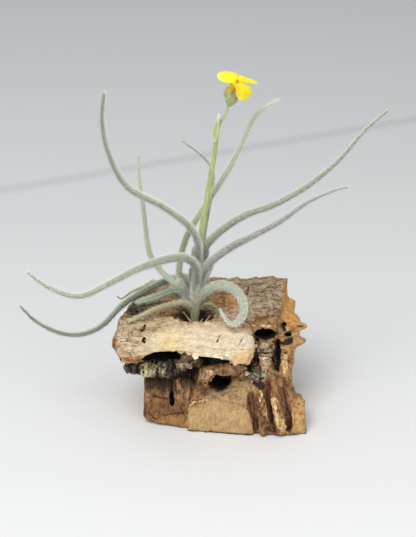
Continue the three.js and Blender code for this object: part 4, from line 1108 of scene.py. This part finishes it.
FINE_STROKES = [
    (GAP_SHADE, 0.7, -0.5, [[-46, -14.5, 29.3], [-42.5, -15, 29.8], [-38.5, -14.5, 30.5]]),  # painted shade in the gap over the lip
    (GAP_SHADE, 0.45, -0.4, [[-44.5, -15, 27.5], [-44.5, -15.5, 25]]),  # painted shade in the fissures of the lip
    (GAP_SHADE, 0.65, -0.5, [[-41, -15, 29], [-41.2, -15.5, 23.5]]),
    (GAP_SHADE, 0.45, -0.4, [[-38.5, -15.5, 29], [-38, -15.5, 25.5]]),
    (GAP_SHADE, 0.45, -0.4, [[-35.5, -15.5, 30], [-36, -16.5, 27.5]]),
    (GAP_SHADE, 0.65, -0.5, [[-32, -16.5, 28.5], [-32, -15, 22.5]]),
    (GAP_SHADE, 0.45, -0.4, [[-27.5, -17, 28.5], [-28, -15.5, 23]]),
    (GAP_SHADE, 0.9, -0.4, [[-24.3, -16.5, 31], [-24.3, -17, 22]]),
    # left foot
    # painted shade in the crack of the left foot
    (GAP_SHADE, 0.6, -0.3, [[-25.6, -16.4, 23.8], [-25.6, -13.8, 19.6], [-25.6, -14, 16.4], [-25.9, -11.5, 12],
     [-25.6, -15.6, 8.4]]),
    ("#1f140c", 0.2, -0.2, [[-17.5, -11, 22], [-17, -15, 15], [-17, -18.5, 13]]),
    ("#3a2415", 0.35, -0.3, [[-29, -18.5, 5], [-25.5, -18.5, 6], [-21.5, -19, 6.5], [-18, -21, 7.5]]),
    ("#3a2415", 0.35, -0.3, [[-36, -17, 5.5], [-34, -18.5, 3.5], [-32, -19.5, 3]]),
    ("#4a3120", 0.6, 0, [[-34, -14.5, 13], [-31, -15.5, 12.5], [-27.5, -15.5, 12]]),
    # painted shade in the gap beside the log's end
    (GAP_SHADE, 0.9, -0.3, [[13.6, -8.5, 40], [13.4, -14, 38], [13.4, -15, 34], [13.2, -16.5, 30]]),
    # painted shade between the lumps of the column, and a pale top of one lump
    (GAP_SHADE, 0.45, -0.2, [[14, -16, 36.8], [17, -17, 36.4], [20.5, -14, 36.2]]),
    (GAP_SHADE, 0.4, -0.2, [[14.6, -16, 34.4], [17, -17.8, 34.8], [19.8, -16, 34]]),
    ("#e2c9a2", 0.5, 0.3, [[14.8, -16, 39.3], [17.5, -16, 39.8]]),
    # valleys, with painted shade along their floors and painted highlights along the ridges between them
    ("#47291a", 0.5, -0.3, [[9.7, -21, 17], [10.2, -23.5, 11.5], [11.5, -24, 6], [12.8, -27, 1.5]]),
    ("#8b6444", 0.3, 0, [[11.2, -21.5, 15], [11.9, -24, 9], [13, -26.5, 3]]),
    ("#47291a", 0.5, -0.3, [[17.7, -21.5, 24], [18.2, -21.5, 16.5], [18.6, -23.5, 10.5], [20, -26, 6.5],
     [21.4, -28, 2]]),
    ("#8b6444", 0.3, 0, [[19.2, -22, 17], [19.8, -24.4, 11], [21.2, -26.6, 6]]),
    ("#4d2f1e", 0.5, -0.3, [[25.2, -19, 19.5], [26.3, -20.5, 13], [28, -23.5, 7.5], [30, -25.5, 1]]),
    ("#8f6646", 0.35, 0, [[25, -20, 17], [26, -22.5, 11], [27.4, -25, 6]]),
    ("#f0d2a2", 0.35, 0.2, [[14.3, -22.5, 20], [15.2, -24, 15.5], [16.3, -26, 10.5]]),
    ("#efd3a0", 0.4, 0.2, [[21, -24.5, 16.5], [22, -26, 12.5], [23.4, -27.4, 8]]),
    ("#2b1a10", 0.3, -0.2, [[22.5, -26, 11.5], [24.5, -26.8, 11.2]]),
    (GAP_SHADE, 0.35, -0.4, [[-3.5, -20.5, 47.5], [-5, -23.5, 45.5]]),  # painted shade in the slits of the log
    (GAP_SHADE, 0.3, -0.4, [[6.5, -21, 46.5], [5, -23, 44]]),
    (GAP_SHADE, 0.55, -0.3, [[-37, -15.5, 50], [-37.5, -17.5, 49], [-38.5, -19.5, 49]]),
    (GAP_SHADE, 0.3, -0.2, [[-37.5, -17.5, 49], [-40, -19, 49.5]]),
    (GAP_SHADE, 0.75, 0, [[-37.1, -22.5, 46.8], [-37.1, -22.5, 45]]),
    (GAP_SHADE, 0.4, -0.2, [[-7.8, -12.5, 50.5], [-6.8, -11, 50.3]]),
    ("#24160d", 0.9, -0.4, [[-50.5, -21, 38], [-48.5, -23.5, 36.5]]),
    ("#b8935f", 0.25, -0.3, [[-14, -24.5, 42.5], [-8, -24.5, 42.5], [-1.5, -25, 42], [4.5, -24, 42],
     [10, -22.5, 41.5]]),
    ("#2f2318", 0.4, -0.3, [[9, 10, 53], [10, 16.5, 53], [10, 19, 53.5]]),  # cracks of the top
    ("#2f2318", 0.35, -0.3, [[16, 12.5, 52.5], [19, 17, 53.5], [22, 18.5, 53]]),
    ("#3d2f22", 0.3, -0.2, [[7, -0.5, 50], [13.5, 2, 49.5], [23.5, 2.5, 49.5]]),
    ("#3d2f22", 0.3, -0.2, [[10.5, -5.5, 48.5], [16, -3.5, 48], [21, -4, 48.5]]),
    ("#3d2f22", 0.3, -0.2, [[11.5, 6, 51.5], [18, 7, 51], [24.5, 10.5, 50.5]]),
    ("#3d2f22", 0.3, -0.2, [[26, 21, 53.5], [20.5, 15, 52.5], [13.5, 13.5, 52.5]]),
    (GAP_SHADE, 0.8, -0.3, [[25, -2, 42], [26, -5, 42]]),  # right side: painted shade in a hole
    ("#4e2f1c", 0.7, -0.3, [[26, -9, 32.5], [29.5, -3.5, 29.5]]),
    ("#33241a", 0.5, 0, [[32, -2.5, 43], [34.5, -1.5, 42.5]]),
    ("#2e2820", 0.7, -0.3, [[9.5, -14, 24.5], [13, -19.5, 24], [15.5, -19.5, 25]]),  # rubble
    ("#2e2820", 0.6, -0.3, [[10.5, -14, 27.5], [13.5, -18, 28]]),
    ("#2e1d12", 0.45, -0.3, [[6, -17.5, 27.5], [5.5, -14, 21]]),
    # painted highlights along lit edges, and painted shade under the chunk's edge
    ("#f6e4ba", 0.8, 0.3, [[-15, -25, 39.5], [-9, -25, 39], [-3, -25.3, 39.3], [0, -25.5, 40.5]]),
    ("#d0ae7c", 0.4, 0.3, [[-17.6, -20, 8.5], [-17.4, -20, 11], [-15.5, -20, 13], [-12.5, -20, 13.8],
     [-9.5, -20, 14]]),
    ("#d8b488", 0.5, 0.3, [[-7.5, -20, 30], [-10, -21, 28.2], [-12.6, -21.6, 26]]),
    ("#2a1a10", 0.5, -0.3, [[-13.4, -20.5, 25.5], [-11.5, -21.5, 23.4], [-9, -20, 22.8]]),
    ("#cda36d", 0.5, 0.3, [[24, -18, 22], [25, -19.5, 18.5]]),
    ("#e6cda4", 0.6, 0.2, [[14, -17, 34.6], [15.5, -18.5, 34.8], [18.5, -18.3, 34.6]]),
    ("#cdb68a", 0.8, 0.3, [[11.5, -10.5, 47], [15.5, -11, 47], [19, -10.5, 46.5]]),
    ("#dfd3ac", 0.4, 0.3, [[-38.8, -16, 28], [-38.9, -16.2, 24.5]]),
    ("#cfc4a4", 0.35, 0.2, [[-34.3, -16.8, 28], [-34.2, -16.6, 24]]),
    ("#bfb597", 0.35, 0.2, [[-29.8, -17, 28.5], [-30, -16.6, 24]]),
    ("#9c9a58", 0.6, 0.3, [[-31, -15, 22.5], [-27.5, -15, 22.5]]),
]

SHARP_EDGE = math.radians(38)
INK_EDGE = 2.0  # where the edge of a stroke lies in what is kept of it, so that 0 is far from any
BROAD_RAG, FINE_RAG = 2.6, 1.2  # how far grain frays the edges of the two coats
FIBRE_TURN = (0.029, 0.033)  # heights in metres between which standing fibres give way to lying ones
STROKE_STEP = 0.4  # distance between two dabs of a stroke
STROKE_FRINGE = 1.4  # how far beyond its half width a stroke is looked at
STROKE_SLOPE = 0.4  # half the width of the slope at its edge
OPEN_REACH = 12.0  # how far a place of the bark looks round itself, in millimetres
OPEN_WAYS = 9  # in how many directions
OPEN_START = 0.5  # from how far above the surface
OPEN_LEAN = 1.05  # and how strongly they lean to its normal
CRUMB_SHAPES = 3
CRUMB_BED = 0.45  # how far a crumb's middle stands above the bark, as a share of its half size


def fibres(cork, size, long, shift=(0, 0, 0)):
    """Noise drawn out along the bark's fibres, which lie in its upper half and stand in its lower half."""
    shift = Vector(shift)
    lying = cork.noise(size, 4.0, 0.65, (long, 1.5, 1), shift + Vector((2, 5, 3)))
    standing = cork.noise(size, 4.0, 0.65, (1, 1.5, 1.25 * long), shift + Vector((7, 1, 4)))
    made = cork.add("ShaderNodeMix", {"data_type": "FLOAT"}, cork.ranged(cork.height(), *FIBRE_TURN))
    cork.feed(made.inputs[2], standing)
    cork.feed(made.inputs[3], lying)
    return made.outputs[0]


def crazing(cork):
    """Short fine cracks, in the worn parts and only here and there."""
    wave = cork.vector("MULTIPLY", cork.noise(2.0, 3.0, 0.6, output="Color"), (1.2, 1.2, 1.2))
    bent = cork.vector("ADD", cork.vector("MULTIPLY", cork.place(), (240.0, 420.0, 620.0)), wave)
    crack = cork.add("ShaderNodeTexVoronoi", {"feature": "DISTANCE_TO_EDGE"}, Vector=bent, Scale=1.0)
    line = cork.ranged(crack.outputs["Distance"], 0.015, 0.07, 1.0, 0.0)
    where = cork.ranged(cork.noise(6.0, 2.0, 0.5, shift=(1, 8, 8)), 0.42, 0.6)
    return cork.times(line, cork.times(where, cork.painted("worn")))


def bark_finish():
    """Cork in many shades by its zones, grainy, pitted and cracked, with near black painted shade in its
    hollows.
    """
    cork = Finish("virgin cork bark", 0.92)
    light, dark = "#b48a58", "#6d4b2c"
    rag = cork.minus(cork.noise(3.2, 4.0, 0.65), 0.5)
    for pale, deep, centre, reach, ragged, soft in BARK_ZONES:
        zone = cork.use(PATCH, Centre=tuple(MM * c for c in centre), Reach=tuple(MM * r for r in reach),
                        Rag=cork.times(rag, 2 * ragged), Soft=soft)["Mask"]
        light = cork.mix(zone, light, pale)
        dark = cork.mix(zone, dark, deep)
    grain = fibres(cork, 0.9, 4.0)
    both = cork.math("ADD", cork.times(cork.noise(2.6, 6.0, 0.68), 0.5), cork.times(grain, 0.5))
    cork.colour = cork.mix(cork.ranged(both, 0.4, 0.57), dark, light)
    small = cork.minus(cork.noise(1.1, 3.0, 0.6, shift=(2, 2, 7)), 0.5)
    streak = cork.minus(grain, 0.5)
    for name, frayed, soft in (("broad", BROAD_RAG, 0.6), ("fine", FINE_RAG, 0.2)):
        edge = cork.math("MULTIPLY_ADD", streak, frayed, cork.painted(f"{name}_edge"))
        edge = cork.math("MULTIPLY_ADD", small, 0.8, edge)
        ink = cork.painted(f"{name}_ink", "Color")
        deep = cork.mix(1.0, ink, (0.4, 0.36, 0.33, 1), "MULTIPLY")
        pale = cork.mix(1.0, ink, (1.5, 1.5, 1.5, 1), "MULTIPLY")
        ink = cork.mix(cork.ranged(both, 0.4, 0.58), deep, pale)
        cork.coat(cork.ranged(edge, INK_EDGE - soft / 2, INK_EDGE + soft), ink)
    lines = cork.ranged(fibres(cork, 0.5, 7.0, (4, 4, 8)), 0.36, 0.45, 0.8, 0.0)
    cork.coat(cork.times(lines, cork.painted("worn")), "#3b2b1c")
    speck = cork.ranged(cork.noise(0.55, 2.0, 0.6, shift=(9, 9, 2)), 0.62, 0.7)
    cork.coat(cork.times(speck, 0.55), "#5a4026", "MULTIPLY")
    cracks = crazing(cork)
    cork.coat(cork.times(cracks, 0.8), "#3a2818")
    # painted shade: near black where a place sees little open sky
    cork.colour = cork.mix(cork.ranged(cork.painted("open"), 0.28, 0.68), "#1a100a", cork.colour)
    tint = cork.math("MULTIPLY_ADD", cork.painted("tint"), 0.42, 1.0)
    cork.colour = cork.dimmed(cork.colour, tint)
    cork.relief(cork.minus(both, cork.times(cracks, 0.35)), 1.1, 0.75)
    return cork.done()


def bark_rods(name, rows):
    return rods(name, [Form(path, halves, (0.1, 0.2, 1), step=1.6) for path, halves in rows], sides=10)


def displace(piece, weights=None, **settings):
    """Moves the surface in or out, by the weights if given, which count in eighths."""
    if weights is not None:
        group = piece.vertex_groups.new(name="relief")
        for step in range(1, 9):
            chosen = np.nonzero(np.round(weights * 8) == step)[0]
            group.add(chosen.tolist(), step / 8, "REPLACE")
        settings["vertex_group"] = group.name
    apply(piece, "DISPLACE", **settings)
    piece.vertex_groups.clear()


def roughen(piece, kind, size, depth, weights=None, stretch=(1, 1, 1)):
    """Pushes the surface in and out by noise of a size and depth in millimetres, where the weights are."""
    texture = bpy.data.textures.new("relief", kind)
    texture.noise_scale = size * MM
    if kind == "CLOUDS":
        texture.noise_depth = 2
    # an empty stretches the noise, and its place gives each size of noise a pattern of its own
    deselect()
    bpy.ops.object.empty_add(location=(0.013 * size, 0.007, 0.003))
    stretcher = bpy.context.object
    stretcher.scale = stretch
    bpy.context.view_layer.update()
    displace(piece, weights, texture=texture, strength=depth * MM, mid_level=0.5, texture_coords="OBJECT",
             texture_coords_object=stretcher)
    remove(stretcher)


def openness(piece):
    """The share of free sky that each vertex sees, from 0 in a deep hollow to 1 on an open face, by which the
    finish paints shade.
    """
    tree = BVHTree.FromObject(piece, bpy.context.evaluated_depsgraph_get())
    ways = np.random.default_rng(SEED).normal(size=(OPEN_WAYS, 3))
    ways /= np.linalg.norm(ways, axis=1)[:, None]
    normals = rows_of(piece, "normal")
    starts = (rows_of(piece) + normals * OPEN_START * MM).tolist()
    share = np.ones(len(starts))
    for way in ways:
        for i, (start, direction) in enumerate(zip(starts, (normals * OPEN_LEAN + way).tolist())):
            distance = tree.ray_cast(start, direction, OPEN_REACH * MM)[3]
            if distance is not None:
                share[i] -= (1 - distance / (OPEN_REACH * MM)) / OPEN_WAYS
    return share


def brush(bark, name, strokes):
    """Lays strokes on the bark: their colour, how deep inside a stroke each vertex lies, and their relief."""
    points = rows_of(bark)
    finder = KDTree(len(points))
    for i, point in enumerate(points.tolist()):
        finder.insert(point, i)
    finder.balance()
    edge = np.full(len(points), -INK_EDGE)
    ink = np.zeros((len(points), 4), np.float32)
    push = np.zeros(len(points))
    for colour, half, relief, path in strokes:
        corners = np.array(path, float) * MM
        for start, end in zip(corners, corners[1:]):
            for share in np.linspace(0, 1, 2 + int(np.linalg.norm(end - start) / (STROKE_STEP * MM))):
                spot = bark.closest_point_on_mesh(Vector(start + share * (end - start)))[1]
                for _, i, away in finder.find_range(spot, (half + STROKE_FRINGE) * MM):
                    inside = half - away / MM
                    if inside > edge[i]:
                        edge[i] = inside
                        ink[i] = linear(colour)
                        rise = (inside + STROKE_SLOPE) / (2 * STROKE_SLOPE)
                        push[i] = relief * min(1.0, max(0.0, rise))
    for direction in (-1, 1):
        displace(bark, np.clip(direction * push, 0, 1), strength=direction * MM, mid_level=0.0)
    paint(bark, f"{name}_edge", edge + INK_EDGE)
    paint(bark, f"{name}_ink", ink)


def make_crumbs(bark):
    """Loose crumbs of cork, bedded a little into the bark."""
    rng = np.random.default_rng(SEED)
    shapes = []
    for _ in range(CRUMB_SHAPES):
        deselect()
        bpy.ops.mesh.primitive_ico_sphere_add(subdivisions=2, radius=1)
        shape = named("crumb_shape")
        for vertex in shape.data.vertices:
            vertex.co *= 1 + rng.uniform(-0.25, 0.2)
        shapes.append(shape)
    crumbs = []
    for middle, reach, count, size in CRUMB_BEDS:
        for _ in range(count):
            spot = np.array(middle) + rng.normal(0, 0.45, 3) * reach
            _, at, normal, _ = bark.closest_point_on_mesh(Vector(spot * MM))
            crumb = copy_of(shapes[rng.integers(CRUMB_SHAPES)], "crumb")
            half = size * rng.uniform(0.35, 1.0) * 0.5 * MM
            turn = Euler(rng.uniform(0, 6.28, 3))
            scale = (half * rng.uniform(0.8, 1.6), half, half * rng.uniform(0.5, 1))
            crumb.matrix_world = Matrix.LocRotScale(at + normal * half * CRUMB_BED, turn, scale)
            bpy.ops.object.transform_apply()
            # crumbs count as open, so no painted shade of the hollows falls on them
            paint(crumb, "open", np.full(len(crumb.data.vertices), 0.75))
            paint(crumb, "tint", np.full(len(crumb.data.vertices), rng.uniform(-1.2, 1.3)))
            crumbs.append(crumb)
    for shape in shapes:
        remove(shape)
    return crumbs


def bark_blank():
    """The bark's own solid as a piece of its own, with its faces joined up."""
    bark = copy_of(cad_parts["cork_bark"], "cork_bark_rough")
    bark.parent = None
    for key in list(bark.keys()):
        del bark[key]
    with editing():
        bpy.ops.mesh.remove_doubles(threshold=0.001 * MM)
    return bark


def carve(bark):
    """Adds the lumps, and cuts the holes, valleys and the ragged under edge."""
    undercut = [([[x, y + back, z + lower] for x, y, z in UNDERCUT_PATH], UNDERCUT_HALVES)
                for back, lower in UNDERCUT_ROWS]
    cutter = bark_rods("bark_cutter", BARK_CUTS + undercut)
    remesh(cutter, CUTTER_GRAIN)
    roughen(cutter, "CLOUDS", 4.5, 2.2)
    roughen(cutter, "CLOUDS", 1.4, 1.1)
    remesh(cutter, CUTTER_GRAIN)
    bark = join([bark, bark_rods("bark_lump", BARK_LUMPS)])
    remesh(bark, BARK_GRAIN)
    apply(bark, "BOOLEAN", operation="DIFFERENCE", object=cutter, solver="EXACT")
    remove(cutter)
    remesh(bark, BARK_GRAIN)
    apply(bark, "SMOOTH", factor=0.5, iterations=3)


def weather(bark):
    """Gives each part of the bark its own roughness, and marks how open each place is, for the painted shade
    of its hollows, and the worn places.
    """
    # where each part of the bark lies, in millimetres
    x, y, z = (rows_of(bark) / MM).T
    log = eased(z, 34, 37) * eased(-x, -14, -12) * eased(-y, 8, 14)
    low = eased(-z, -33, -29)
    foot = low * eased(-x, -13, -10) * eased(x, -20, -17) * eased(-z, -15, -12)
    top = eased(z, 44, 48) * eased(y, -14, -8)
    loose = eased(-np.abs(z - 30), -9, -5) * eased(-y, 5, 10)
    side = eased(x, 22, 26)
    left = eased(-x, 12, 17) * low * eased(-z, -22, -18)
    lip = eased(z, 21, 23) * eased(-z, -32, -30) * eased(-x, 22, 24) * eased(-y, 12, 14)
    calm = np.maximum(foot, np.maximum(0.6 * left, 0.7 * side))
    lively = 1 - 0.6 * calm - 0.3 * log
    roughen(bark, "CLOUDS", 4.5, 1.5, lively)
    roughen(bark, "CLOUDS", 1.5, 1.1, log, (5, 1.5, 1))
    roughen(bark, "CLOUDS", 2.2, 1.2, low * (1 - 0.85 * calm), (1, 1, 5))
    roughen(bark, "CLOUDS", 1.6, 2.0, lip, (1, 1, 3))
    roughen(bark, "VORONOI", 2.2, 1.2, np.maximum(top * (1 - side), loose))
    roughen(bark, "CLOUDS", 1.0, 0.55, lively)
    apply(bark, "SMOOTH", factor=0.4, iterations=1)
    paint(bark, "open", openness(bark))
    x, y, z = (rows_of(bark) / MM).T
    worn = [eased(-x, 34, 42) * eased(z, 33, 36), 0.9 * eased(z, 46, 49) * eased(y, -16, -12),
            0.5 * eased(-z, -30, -27) * (1 - foot)]
    paint(bark, "worn", np.maximum(np.max(worn, axis=0), 0.25))


def make_bark():
    bark = bark_blank()
    carve(bark)
    weather(bark)
    brush(bark, "broad", BROAD_STROKES)
    brush(bark, "fine", FINE_STROKES)
    bark = join([bark, *make_crumbs(bark)])
    bpy.ops.object.shade_smooth_by_angle(angle=SHARP_EDGE)
    settle(bark, "cork_bark", bark_finish())


# The studio

CAMERA_PLACE = (-0.009, -0.475, 0.282)
CAMERA_LENS = 77.47
CAMERA_PITCH = math.radians(90 - 24)
LOOK_AT = (0, 0, 0.06)
AIR = (0.98, 0.99, 1.0, 1)
AIR_STRENGTH = 0.56
LAMPS = {"softbox": ((-0.3, -0.5, 0.9), 7.4), "fill": ((0.7, -0.6, 0.5), 1.0)}  # place and power
LAMP_SIZE = 0.6

# The soft line of painted shade where the table meets the backdrop, on the floor, in metres
SHADE_LINE_PLACE = (-0.009, 0.374)
SHADE_LINE_TURN = math.radians(28.5)
SHADE_LINE_HALF = 0.014
FLOOR_SIZE = 4


def make_camera():
    deselect()
    bpy.ops.object.camera_add(location=CAMERA_PLACE, rotation=(CAMERA_PITCH, 0, 0))
    camera = named("camera")
    camera.data.sensor_width = 36
    camera.data.lens = CAMERA_LENS
    camera.data.clip_start = 0.01
    bpy.context.scene.camera = camera


def make_stage():
    """One wide pale floor, greyed far away by painted shade, with a soft line of painted shade that stands
    for the foot of the backdrop.
    """
    deselect()
    bpy.ops.mesh.primitive_plane_add(size=FLOOR_SIZE, location=(0, 0, 0))
    floor = named("studio_floor")
    paper = Finish("pale floor", 0.7)
    normal = (-math.sin(SHADE_LINE_TURN), math.cos(SHADE_LINE_TURN), 0.0)
    shade_line = SHADE_LINE_PLACE[0] * normal[0] + SHADE_LINE_PLACE[1] * normal[1]
    beyond = paper.vector("DOT_PRODUCT", paper.place(), normal)
    # painted shade: greyer towards the far line
    paper.colour = paper.mix(paper.ranged(beyond, -0.3, shade_line), "#ededed", "#dadcdc")
    away = paper.math("ABSOLUTE", paper.minus(beyond, shade_line))
    # painted shade along the foot of the backdrop
    paper.coat(paper.ranged(away, 0.0, SHADE_LINE_HALF, 0.6, 0.0), "#c4c6c6")
    floor.data.materials.append(paper.done())


def make_light():
    world = bpy.data.worlds.new("studio air")
    bpy.context.scene.world = world
    world.use_nodes = True
    back = world.node_tree.nodes["Background"]
    back.inputs["Color"].default_value = AIR
    back.inputs["Strength"].default_value = AIR_STRENGTH
    for name, (place, power) in LAMPS.items():
        deselect()
        bpy.ops.object.light_add(type="AREA", location=place)
        lamp = named(name)
        lamp.data.size = LAMP_SIZE
        lamp.data.energy = power
        lamp.rotation_euler = (Vector(LOOK_AT) - Vector(place)).to_track_quat("-Z", "Y").to_euler()
    bpy.context.scene.view_settings.view_transform = "Standard"


make_camera()
make_stage()
make_light()
make_shoots()
make_leaves()
make_roots()
make_petals()
make_bract_and_calyx()
make_stamens()
make_bark()
